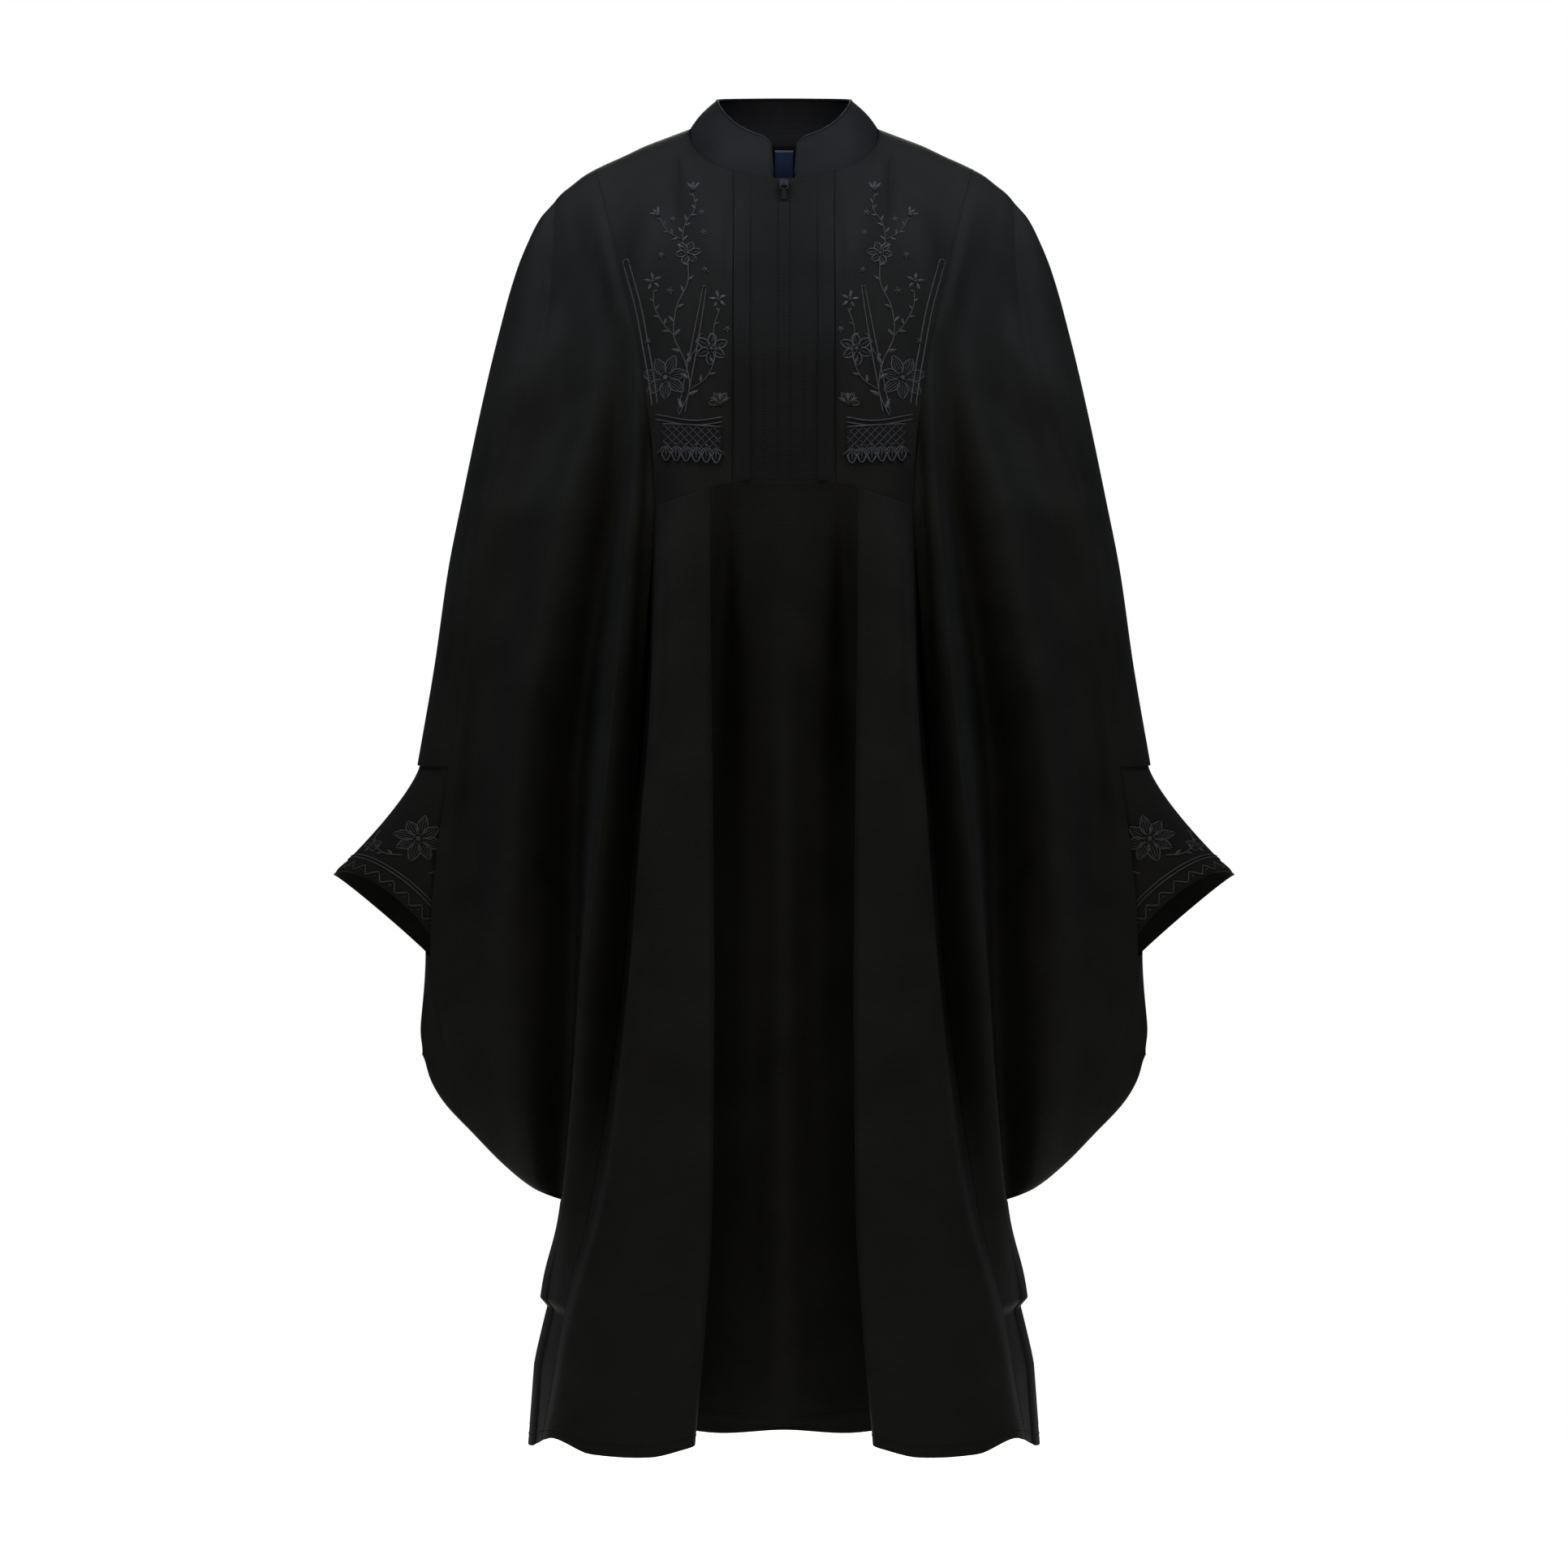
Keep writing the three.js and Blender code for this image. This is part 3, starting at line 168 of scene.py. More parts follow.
SIDE_LINES = (
    FoldLine("princess", 2, (176, 169, 151, 128, 117, 134, 148, 177, 199, 222),
             (0, 36, 80, 114, 118, 88, 90, 104, 100, 92), 178),
    FoldLine("fold_b", 3, (183, 177, 160, 136, 138, 161, 182, 201, 219, 230),
             (0, 35, 78, 112, 122, 122, 116, 90, 46, 50), 185),
    FoldLine("valley", 3, (190, 186, 171, 152, 156, 192, 196, 209, 228, 240),
             (0, 32, 70, 98, 88, 46, 38, 0, 0, 0), 192),
    FoldLine("wing_fold", 2, (198, 195, 185, 172, 193, 244, 252, 233),
             (0, 29, 62, 94, 104, 92, 70, 0), 200, 0.2),
    FoldLine("wing_side", 2, (206, 205, 201, 199, 243, 281, 287, 263),
             (0, 25, 52, 74, 72, 56, 44, 0), 208, 0.5),
    FoldLine("crease", CAP_STEPS, (214, 215.5, 219, 239, 275, 312, 331, 294),
             (0, 19, 40, 60, 57, 49, 27, 0), 216, 0.85),
    SLEEVE_EDGE,
)
CENTRE_LINES = (
    FoldLine("ridge", 2, (0, 0, 0, 0, 0, 0), (142, 116, 110, 106, 105, 105)),
    FoldLine("hollow", 2, (28, 28, 28, 28, 30, 33), (141, 103, 98, 95, 94, 94)),
    FoldLine("inner", 1, (45, 52, 54, 55, 58, 63), (138, 92, 89, 87, 86, 84)),
    FoldLine("side", 1, (56, 73, 75, 76, 81, 91), (134, 88, 85, 83, 82, 80)),
)
SKIRT_LINES = (
    FoldLine("return_foot", 1, (62, 85, 88, 92, 98, 107), (132, 99, 96, 94, 93, 90)),
    FoldLine("return_top", 1, (66, 71, 70, 72, 76, 86), (135, 127, 132, 138, 141, 142)),
    FoldLine("fold_inner", 1, (68, 65, 63, 65, 70, 80), (138.5, 141, 149, 157, 161, 164)),
    FoldLine("fold_outer", 2, (72, 70, 67, 68, 73, 84), (141, 151, 158, 166, 171, 174)),
    FoldLine("panel", 2, (82, 90, 97, 108, 116, 129), (140.5, 151, 157, 164, 167, 168)),
    FoldLine("pleat_ridge", 1, (94, 109, 125, 150, 165, 185), (138, 148, 155, 160, 157, 147)),
    FoldLine("strip", 1, (104, 118, 133, 160, 178, 202), (132, 144, 153, 155, 150, 137)),
    FoldLine("fold_c", 2, (111, 126, 140, 167, 189, 215), (126, 138, 147, 148, 140, 122)),
)
BACK_LINES = (
    FoldLine("back_middle", 2, (0, 0, 0, 0, 0, 0, 0, 0, 0, 0),
             (70, 82, 108, 119, 120, 143, 165, 193, 207, 235), 180),
    FoldLine("back_valley", 3, (56, 57, 58, 54, 47, 47, 50, 55, 58, 64),
             (54, 76, 106, 116, 112, 122, 138, 163, 178, 202), 140),
    FoldLine("back_ridge", 2, (88, 96, 95, 86, 80, 87, 95, 104, 109, 121),
             (0, 58, 99, 112, 117, 138, 156, 180, 192, 216), 90),
    FoldLine("back_hollow", 2, (118, 121, 124, 110, 108, 121, 133, 147, 153, 167),
             (0, 46, 90, 101, 98, 99, 107, 122, 131, 142), 120),
    FoldLine("back_fold", 2, (153, 152, 148, 132, 137, 155, 171, 192, 207, 218),
             (0, 38, 82, 99, 109, 124, 128, 118, 92, 96), 155),
    FoldLine("back_side", 3, (183, 179, 169, 154, 162, 197, 203, 209, 228, 240),
             (0, 31, 66, 88, 84, 54, 42, 0, 0, 0), 185),
    FoldLine("back_wing", 2, (196, 194, 189, 180, 200, 249, 258, 236),
             (0, 27, 57, 83, 95, 86, 66, 0), 198, 0.25),
    FoldLine("back_wing_side", 2, (205, 204.5, 204, 206, 246, 284, 290, 266),
             (0, 23, 48, 68, 66, 54, 42, 0), 207, 0.5),
    FoldLine("back_crease", CAP_STEPS, (214, 215.5, 219, 240, 275, 312, 331, 294),
             (0, 18, 38, 57, 54, 48, 26, 0), 216, 0.85),
    SLEEVE_EDGE,
)
HEM_WAVE_X = (0, 70, 84, 122, 174, 213, 236, 260)
HEM_WAVE_Z = (0, 0, -3, -11, -5, 9, 0, 0)
FRONT_SEAM = 2
BACK_SEAM = 5
BACK_RIDGE = 2


def finer(shares: tuple[float, ...], times: int, end: float | None = None) -> np.ndarray:
    """Splits every stretch of a row of shares.

    Args:
        shares: Rising shares.
        times: Parts for each stretch.
        end: Closes the last stretch there, without giving that share itself.

    Returns:
        The finer shares.
    """
    marks = [*shares, end] if end is not None else list(shares)
    parts = [np.linspace(a, b, times, endpoint=False) for a, b in zip(marks[:-1], marks[1:])]
    return np.concatenate(parts if end is not None else [*parts, [marks[-1]]])


UPPER_SHARES = finer(UPPER_ROWS, ROW_FINE)
MIDDLE_SHARES = np.concatenate([
    finer(WAIST_TO_WRIST, ROW_FINE, 1),
    1 + finer(WRIST_TO_HAND, ROW_FINE, 1),
    2 + finer(HAND_TO_TIP, ROW_FINE, 1),
])
LOWER_SHARES = np.concatenate([3 + finer(TIP_TO_BUMP, ROW_FINE, 1), 4 + finer(BUMP_TO_HEM, ROW_FINE)])
UPPER = len(UPPER_SHARES) - 1
WRIST = UPPER + len(WAIST_TO_WRIST) * ROW_FINE
HAND = WRIST + len(WRIST_TO_HAND) * ROW_FINE
TIP = UPPER + len(MIDDLE_SHARES)


# ---------------------------------------------------------------- curves
def through(at: np.ndarray, value: np.ndarray, where: np.ndarray) -> np.ndarray:
    """Smooth values without overshoot through the points (at, value).

    Args:
        at: Rising places.
        value: Value at each place.
        where: Places to read.

    Returns:
        The value at each place of `where`.
    """
    at, value, where = (np.asarray(a, float) for a in (at, value, where))
    slope = np.diff(value) / np.diff(at)
    product = slope[:-1] * slope[1:]
    total = np.where(product > 0, slope[:-1] + slope[1:], 1)
    inner = np.where(product > 0, 2 * product / total, 0)
    tangent = np.concatenate([[slope[0]], inner, [slope[-1]]])
    k = np.searchsorted(at[1:-1], where, side="left")
    span = at[k + 1] - at[k]
    t = (where - at[k]) / span
    return (
        value[k] * (2 * t**3 - 3 * t**2 + 1) + tangent[k] * span * (t**3 - 2 * t**2 + t)
        + value[k + 1] * (3 * t**2 - 2 * t**3) + tangent[k + 1] * span * (t**3 - t**2)
    )


def depth_through(at: np.ndarray, out: np.ndarray, where: np.ndarray, power: float = 2.0) -> np.ndarray:
    """Depths blended as powers, so that a layer closes round at a shoulder or a lower edge."""
    powers = through(at, np.asarray(out, float) ** power, where)
    return np.maximum(powers, 0) ** (1 / power)


def outline_z(x: np.ndarray) -> np.ndarray:
    """Height of the shoulder and sleeve top at x."""
    return through(OUTLINE_X, OUTLINE_Z, x)


def outline_x(z: np.ndarray) -> np.ndarray:
    """Half width of the shoulder and sleeve at height z."""
    return through(-np.asarray(OUTLINE_Z, float), OUTLINE_X, -np.asarray(z, float))


def mix(a: np.ndarray, b: np.ndarray, t: np.ndarray) -> np.ndarray:
    """Straight blend of a and b."""
    return a + (b - a) * t


def points(x: np.ndarray, y: np.ndarray, z: np.ndarray) -> np.ndarray:
    """Joins coordinates, each a number or an array, into points."""
    return np.stack(np.broadcast_arrays(*(np.asarray(v, float) for v in (x, y, z))), axis=-1)


def neck_point(angle: np.ndarray) -> np.ndarray:
    """Point of the neck seam at an angle in degrees from the middle front."""
    turn = np.radians(np.asarray(angle, float))
    c = np.cos(turn)
    ahead = np.maximum(c, 0)
    drop = np.where(c > 0, SIZE.neck_front_drop * ahead**SIZE.neck_power, -SIZE.neck_back_drop * c)
    y = np.where(c > 0, -SIZE.neck_front * c, -SIZE.neck_back * c)
    return points(SIZE.neck_half * np.sin(turn), y, SIZE.neck_side_z - drop)


def rim_points(rims: np.ndarray, neck_until: float = 0.0) -> np.ndarray:
    """Points of the rim that front and back hang from: the neck seam, then the shoulder.

    Args:
        rims: Angle on the neck, or 90 and the distance beyond it on the shoulder.
        neck_until: The rims up to here are on the neck.

    Returns:
        One point for each rim.
    """
    rims = np.asarray(rims, float)
    x = SIZE.neck_half + np.maximum(rims, 90) - 90
    on_shoulder = points(x, 0, outline_z(x))
    return np.where((rims <= neck_until)[..., None], neck_point(rims), on_shoulder)


def waist_z(x: np.ndarray) -> np.ndarray:
    """Height of the waist seam at x."""
    t = (np.abs(x) - SIZE.waist_inner_x) / (SIZE.waist_outer_x - SIZE.waist_inner_x)
    return mix(SIZE.seam_z, SIZE.waist_outer_z, np.clip(t, 0, 1))


def wing_bottom_z(x: np.ndarray) -> np.ndarray:
    """Height of the wing's lower edge at x."""
    t = np.maximum(0, (x - SIZE.wing_tip_x) / (SIZE.wing_corner_x - SIZE.wing_tip_x))
    return SIZE.tip_z + (SIZE.wing_corner_z - SIZE.tip_z) * t**SIZE.wing_power


class Hem(Enum):
    """Hems of the three parts of the skirt."""

    FRONT = "front"
    CENTRE = "centre"
    BACK = "back"

    def height(self, x: float) -> float:
        """Height of this hem at x."""
        if self is Hem.CENTRE:
            return SIZE.hem_centre_z + SIZE.hem_centre_rise * (x / SIZE.hem_centre_x) ** 2
        start, power = (SIZE.hem_front_z, 4) if self is Hem.FRONT else (SIZE.hem_back_z, 2)
        return start + (SIZE.hem_side_z - start) * (x / SIZE.hem_half) ** power


# ---------------------------------------------------------------- lines and grids
def upper_line(line: FoldLine, toward: int, neck_until: float = 0.0) -> np.ndarray:
    """Points of a line above the waist.

    Args:
        line: The line.
        toward: -1 on the front, 1 on the back.
        neck_until: Rims up to here start on the neck.

    Returns:
        One point for each upper row.
    """
    top = rim_points(line.rim, neck_until)
    lift = SIZE.sleeve_rise if line.rise == 1 else 0
    z = mix(top[2], waist_z(line.x[4]) + lift, UPPER_SHARES)
    x = outline_x(z) if line.rise == 1 else through(UPPER_STATIONS, line.x[:5], UPPER_SHARES)
    out = depth_through(UPPER_STATIONS, line.out[:5], UPPER_SHARES, line.power)
    found = points(x, toward * out, z)
    found[0] = top
    return found


def lower_line(line: FoldLine, toward: int, hem: Hem, first: int = 0) -> np.ndarray:
    """Points of a line from the waist down.

    Args:
        line: The line.
        toward: -1 on the front, 1 on the back.
        hem: The hem that it runs to.
        first: Index of its waist value.

    Returns:
        One point for each row down to the hem, or to the wing's lower edge.
    """
    x, out = np.array(line.x[first:], float), np.array(line.out[first:], float)
    to_hem = len(x) == 6
    heights = [
        waist_z(x[0]) + (SIZE.sleeve_rise if line.rise == 1 else 0),
        SIZE.wrist_z + line.rise * SIZE.wrist_lift,
        SIZE.hand_z + line.rise * SIZE.hand_lift,
        wing_bottom_z(x[3]) if line.rise > 0 else SIZE.tip_z,
        SIZE.bump_z,
        hem.height(x[-1]),
    ][: len(x)]
    shares = np.concatenate([MIDDLE_SHARES, LOWER_SHARES]) if to_hem else np.append(MIDDLE_SHARES, 3)
    at = np.arange(len(x))
    z = through(at, heights, shares)
    px = through(at, x, shares)
    if line.rise == 1:
        px = np.where(shares < 1, outline_x(z), px)
    return points(px, toward * depth_through(at, out, shares), z)


def full_line(line: FoldLine, toward: int, neck_until: float = 0.0) -> np.ndarray:
    """Points of a line from the rim to its end."""
    hem = Hem.BACK if toward > 0 else Hem.FRONT
    lower = lower_line(line, toward, hem, 4)
    return np.concatenate([upper_line(line, toward, neck_until)[:-1], lower])


def mirrored(grid: np.ndarray) -> np.ndarray:
    """The same points on the other side of the garment."""
    return grid * np.array([-1, 1, 1])


def quarter_turn(start: np.ndarray, end: np.ndarray, share: float) -> np.ndarray:
    """Quarter turn from one line to a line on the middle plane."""
    turn = math.pi / 2 * share
    ways = np.array([math.sin(turn), 1 - math.cos(turn), 1 - math.cos(turn)])
    return start + (end - start) * ways


def stretch(knots: list[np.ndarray], share: float) -> np.ndarray:
    """Point between the two middle ones of four knots, on a centripetal curve, for every row."""
    gaps = [np.linalg.norm(b - a, axis=1, keepdims=True) ** 0.5 for a, b in zip(knots, knots[1:])]
    middle = np.where(gaps[1] < 1e-4, 1, gaps[1])
    before, after = (np.where(g < 1e-4, middle, g) for g in (gaps[0], gaps[2]))
    a, b, c, d = knots
    leave = ((b - a) / before - (c - a) / (before + middle) + (c - b) / middle) * middle
    arrive = ((c - b) / middle - (d - b) / (middle + after) + (d - c) / after) * middle
    square, cube = share**2, share**3
    return (
        b + leave * share + (3 * (c - b) - 2 * leave - arrive) * square
        + (2 * (b - c) + leave + arrive) * cube
    )


def across(
    lines: list[np.ndarray], steps: list[int], turned: dict[int, np.ndarray] | None = None
) -> np.ndarray:
    """Grid of points from lines: every row is a smooth curve through them.

    Args:
        lines: The lines, each with the same rows.
        steps: Cells between each line and the next.
        turned: For a stretch, each row's share of a quarter turn instead of the curve.

    Returns:
        Rows by columns of points.
    """
    turned = turned or {}
    lead = mirrored(lines[1]) if np.abs(lines[0][:, 0]).max() < 1e-6 else 2 * lines[0] - lines[1]
    knots = [lead, *lines, 2 * lines[-1] - lines[-2]]
    columns = []
    for i, count in enumerate(steps):
        for k in range(count):
            smooth = stretch(knots[i : i + 4], k / count)
            if i in turned:
                bent = quarter_turn(lines[i], lines[i + 1], k / count)
                smooth = mix(smooth, bent, turned[i][:, None])
            columns.append(lines[i] if k == 0 else smooth)
    return np.stack([*columns, lines[-1]], axis=1)


def fine_steps(lines: tuple[FoldLine, ...]) -> list[int]:
    """Cells after each line but the last, at the fineness of the cloth."""
    return [line.steps * COLUMN_FINE for line in lines]


def settle(grid: np.ndarray, row: int, target: np.ndarray, reach: int) -> None:
    """Moves a row onto its target; the move fades over the rows beside it.

    Args:
        grid: The grid, changed in place.
        row: The row.
        target: Its true points.
        reach: Rows over which the move fades.
    """
    move = target - grid[row]
    for r in range(max(0, row - reach + 1), min(len(grid), row + reach)):
        grid[r] += move * (1 - abs(r - row) / reach) ** 2


def rims_between(rims: list[float], steps: list[int]) -> np.ndarray:
    """Rims of all columns, evenly spaced between those of the lines."""
    parts = [np.linspace(a, b, n, endpoint=False) for a, b, n in zip(rims, rims[1:], steps)]
    return np.concatenate([*parts, [rims[-1]]])


def side_grid(lines: list[np.ndarray], steps: list[int], seam: int) -> np.ndarray:
    """Side of front or back from the shoulder to the hem, with the wing above its own lower edge.

    Args:
        lines: Full lines; those after the seam end at the wing's lower edge.
        steps: Cells between them.
        seam: The line on the side seam.

    Returns:
        The grid. Below the wing the columns beyond the seam repeat the seam's points.
    """
    edge = len(steps) - 1
    rows = np.arange(TIP + 1)
    near_tip = np.clip((rows - HAND) / (TIP - HAND), 0, 1) ** SIZE.wing_round
    full = across([line[: TIP + 1] for line in lines], steps, {edge: np.ones(TIP + 1), seam - 1: near_tip})
    first = full.shape[1] - 1 - steps[edge]
    drop = (full[HAND:, first, 2] - full[HAND, first, 2]) / (full[TIP, first, 2] - full[HAND, first, 2])
    cap = full[HAND:, first + 1 :]
    cap[1:, :, 2] = mix(cap[0, :, 2], wing_bottom_z(cap[-1, :, 0]), drop[1:, None])
    strip = [line[TIP:] for line in lines[: seam + 1]]
    low = across(strip, steps[:seam], {seam - 1: np.ones(len(strip[0]))})[1:]
    padding = np.repeat(low[:, -1:], full.shape[1] - low.shape[1], axis=1)
    return np.concatenate([full, np.concatenate([low, padding], axis=1)])


def eased_side(grid: np.ndarray) -> np.ndarray:
    """Rounds the wing's outer corner and nicks the side seam where its slit starts."""
    x, z = grid[..., 0], grid[..., 2]
    corner_x, corner_z = SIZE.wing_corner_x, SIZE.wing_corner_z
    pull = SIZE.corner_pull * np.exp(-(np.hypot(x - corner_x, z - corner_z) / SIZE.corner_reach) ** 2)
    from_push = np.hypot(x - corner_x + SIZE.push_in, z - corner_z + SIZE.push_down)
    push = SIZE.corner_push * np.exp(-(from_push / (2 * SIZE.corner_reach)) ** 2)
    below = (SIZE.slit_z - z) / SIZE.slit_fade
    near_seam = np.clip((x - 190) / 30, 0, 1)
    nick = SIZE.slit_nick * np.clip(below * 8, 0, 1) * np.clip(1 - below, 0, 1) * near_seam
    return grid + points(0.8 * push - 0.95 * pull - nick, 0, 0.3 * pull - 0.6 * push)


def waved_hem(grid: np.ndarray) -> np.ndarray:
    """Lets the front hem rise and fall a little, as soft cloth does."""
    x, z = np.abs(grid[..., 0]), grid[..., 2]
    low = np.clip((SIZE.hem_front_z + SIZE.wave_height - z) / SIZE.wave_height, 0, 1.3)
    return grid + points(0, 0, through(HEM_WAVE_X, HEM_WAVE_Z, np.minimum(x, 259)) * low**2)


def both_halves(grid: np.ndarray) -> np.ndarray:
    """One grid over both halves, from the wearer's right edge to the left."""
    return np.concatenate([mirrored(grid[:, :0:-1]), grid], axis=1)


def straight_waist(row: np.ndarray) -> np.ndarray:
    """A row with its heights on the waist seam's slope."""
    return points(row[:, 0], row[:, 1], waist_z(row[:, 0]))


class GarmentForm:
    """Grids of all cloth panels, in mm, for the wearer's left half or the whole width."""

    def __init__(self) -> None:
        """Works out the panels in the order in which they share their seams."""
        self.side_steps = fine_steps(SIDE_LINES[:-1])
        self.back_steps = fine_steps(BACK_LINES[:-1])
        self.seam_column = sum(self.side_steps[:FRONT_SEAM])
        self.cap_columns = self.side_steps[-1]
        self.side_front = self._side_front()
        self.yoke = self._yoke()
        self.placket = self._placket()
        self.centre, self.skirt = self._lower_front()
        self.back_half = self._back_half()

    def _side_front(self) -> np.ndarray:
        """Side front from the princess seam to the sleeve's edge."""
        grid = side_grid([full_line(line, -1) for line in SIDE_LINES], self.side_steps, FRONT_SEAM)
        self.level_side = grid.copy()
        rims = rims_between([line.rim for line in SIDE_LINES], self.side_steps)
        settle(grid, 0, rim_points(rims), 2 * ROW_FINE)
        return waved_hem(eased_side(grid))

    def _yoke(self) -> np.ndarray:
        """Yoke between the placket's tuck and the princess seam."""
        lines = [upper_line(line, -1, 90) for line in YOKE_LINES]
        steps = fine_steps(YOKE_LINES)
        grid = across([*lines, self.side_front[: UPPER + 1, 0]], steps)
        rims = rims_between([*(line.rim for line in YOKE_LINES), SIDE_LINES[0].rim], steps)
        settle(grid, 0, rim_points(rims, 90), 2 * ROW_FINE)
        settle(grid, UPPER, straight_waist(grid[UPPER]), ROW_FINE)
        return grid

    def _placket(self) -> np.ndarray:
        """Placket half from the zip to the outer edge of its tuck."""
        angles = rims_between(list(PLACKET_ANGLES), list(PLACKET_STEPS))
        edge_x = YOKE_LINES[0].x[4]
        x = np.minimum(SIZE.neck_half * np.sin(np.radians(angles)), edge_x)
        x[-1] = edge_x
        top = neck_point(angles)
        centre = depth_through(UPPER_STATIONS, PLACKET_CENTRE_OUT, UPPER_SHARES)[:, None]
        edge = depth_through(UPPER_STATIONS, PLACKET_EDGE_OUT, UPPER_SHARES)[:, None]
        out = mix(centre, edge, (x / edge_x) ** 2)
        z = mix(top[:, 2], SIZE.seam_z, UPPER_SHARES[:, None])
        grid = points(x, -out, z)
        settle(grid, 0, top, 2 * ROW_FINE)
        self.placket_angles = angles
        return grid

    def _lower_front(self) -> tuple[np.ndarray, np.ndarray]:
        """Recessed centre panel, over both halves, and the front skirt with its pleat's return."""
        centre = [lower_line(line, -1, Hem.CENTRE) for line in CENTRE_LINES]
        skirt = [lower_line(line, -1, Hem.FRONT) for line in SKIRT_LINES]
        princess, fold_b = (self.level_side[UPPER:, column] for column in (0, self.side_steps[0]))
        steps = fine_steps((*CENTRE_LINES, *SKIRT_LINES))
        whole = across([*centre, *skirt, princess, fold_b], [*steps, 1])
        seam = np.concatenate([self.placket[-1], self.yoke[-1]])
        flush = straight_waist(whole[0])
        flush[:, 1] = np.interp(flush[:, 0], seam[:, 0], seam[:, 1])
        flush[-1] = whole[0, -1]
        settle(whole, 0, flush, 4 * ROW_FINE)
        split = sum(fine_steps(CENTRE_LINES))
        return both_halves(whole[:, : split + 1]), waved_hem(whole[:, split:-1])

    def _back_half(self) -> np.ndarray:
        """Left half of the back, which shares the side seam, wing and sleeve edge with the front."""
        lines = [full_line(line, 1, 180 if i <= BACK_RIDGE else 0) for i, line in enumerate(BACK_LINES)]
        grid = side_grid(lines, self.back_steps, BACK_SEAM)
        rims = [line.rim for line in BACK_LINES]
        cut = sum(self.back_steps[:BACK_RIDGE])
        neck = neck_point(rims_between(rims[: BACK_RIDGE + 1], self.back_steps[:BACK_RIDGE]))
        shoulder = rim_points(rims_between(rims[BACK_RIDGE:], self.back_steps[BACK_RIDGE:]))
        settle(grid, 0, np.concatenate([neck[:cut], shoulder]), 2 * ROW_FINE)
        self.back_seam_column = sum(self.back_steps[:BACK_SEAM])
        grid = eased_side(grid)
        grid[: TIP + 1, -1] = self.side_front[: TIP + 1, -1]
        grid[TIP:, self.back_seam_column] = self.side_front[TIP:, self.seam_column]
        return grid

    def kept(self, grid: np.ndarray, seam: int) -> np.ndarray:
        """Cells of a side piece: none below the wing beyond the seam, none in the sleeve's opening.

        Args:
            grid: The grid of the left half.
            seam: Column of the side seam.

        Returns:
            Rows by columns of booleans, one for each cell.
        """
        rows, columns = grid.shape[0] - 1, grid.shape[1] - 1
        kept = np.ones((rows, columns), bool)
        kept[TIP:, seam:] = False
        kept[WRIST:HAND, columns - self.cap_columns :] = False
        return kept


# ---------------------------------------------------------------- creases
@dataclass(frozen=True)
class Crease:
    """A soft trough or ridge between two places of a panel, seen from the front, in mm."""

    start: tuple[float, float]
    end: tuple[float, float]
    depth: float
    width: float
    bow: float = 0.0

    def lift(self, x: np.ndarray, z: np.ndarray) -> np.ndarray:
        """Height of the crease at places of the panel; a trough is negative.

        Args:
            x: Distance from the garment's middle.
            z: Height.

        Returns:
            The lift, of the shape of x.
        """
        ax, az = self.start
        bx, bz = self.end
        length = math.hypot(bx - ax, bz - az)
        ux, uz = (bx - ax) / length, (bz - az) / length
        along = ((x - ax) * ux + (z - az) * uz) / length
        inside = np.clip(along, 0, 1)
        aside = (x - ax) * -uz + (z - az) * ux - self.bow * np.sin(np.pi * inside)
        beyond = (along - inside) * length
        taper = np.sin(np.pi * np.clip(0.04 + 0.92 * inside, 0, 1)) ** 0.7
        spread = self.width * (0.6 + 0.8 * inside)
        return self.depth * taper * np.exp(-((aside / spread) ** 2) - (beyond / (2 * self.width)) ** 2)


FRONT_CREASES = (
    Crease((205, -200), (262, -470), -3.4, 15, 8),
    Crease((280, -290), (320, -645), -2.4, 4, -2),
    Crease((271, -290), (311, -645), 1.6, 6, -2),
    Crease((179, -250), (246, -600), 3.6, 13, 5),
    Crease((246, -590), (262, -800), 2.2, 14, 4),
    Crease((290, -480), (292, -700), -3.2, 9, -2),
    Crease((170, -380), (214, -700), -2.4, 10, -4),
    Crease((136, -312), (188, -830), 2.4, 4, -3),
    Crease((226, -720), (232, -950), 2.4, 16, 3),
    Crease((262, -680), (268, -930), 1.8, 16, -4),
    Crease((285, -660), (300, -880), -2.6, 10, 3),
    Crease((224, -680), (189, -716), -4.2, 5, 3),
    Crease((232, -688), (197, -726), 3.0, 6, 3),
    Crease((280, -594), (270, -607), -2.6, 3, 0),
    Crease((214, -712), (228, -790), 2.2, 10, 4),
    Crease((152, -140), (172, -330), 1.6, 14, 4),
    Crease((108, -410), (113, -560), -2.0, 3, 1),
    Crease((120, -420), (136, -800), -1.4, 7, 3),
    Crease((150, -700), (172, -1120), -1.6, 9, -4),
    Crease((112, -800), (122, -1150), 1.2, 14, 3),
    Crease((192, -930), (208, -1180), 1.8, 8, 2),
    Crease((322, -690), (324, -850), -2.0, 9, 2),
    Crease((240, -860), (300, -905), -1.2, 8, 4),
)
CENTRE_CREASES = (
    Crease((51, -338), (64, -640), -11.0, 12, 0),
    Crease((14, -420), (16, -880), -0.9, 10, 2),
    Crease((38, -560), (42, -1100), 0.9, 10, -2),
    Crease((4, -700), (8, -1180), 0.8, 12, 3),
)
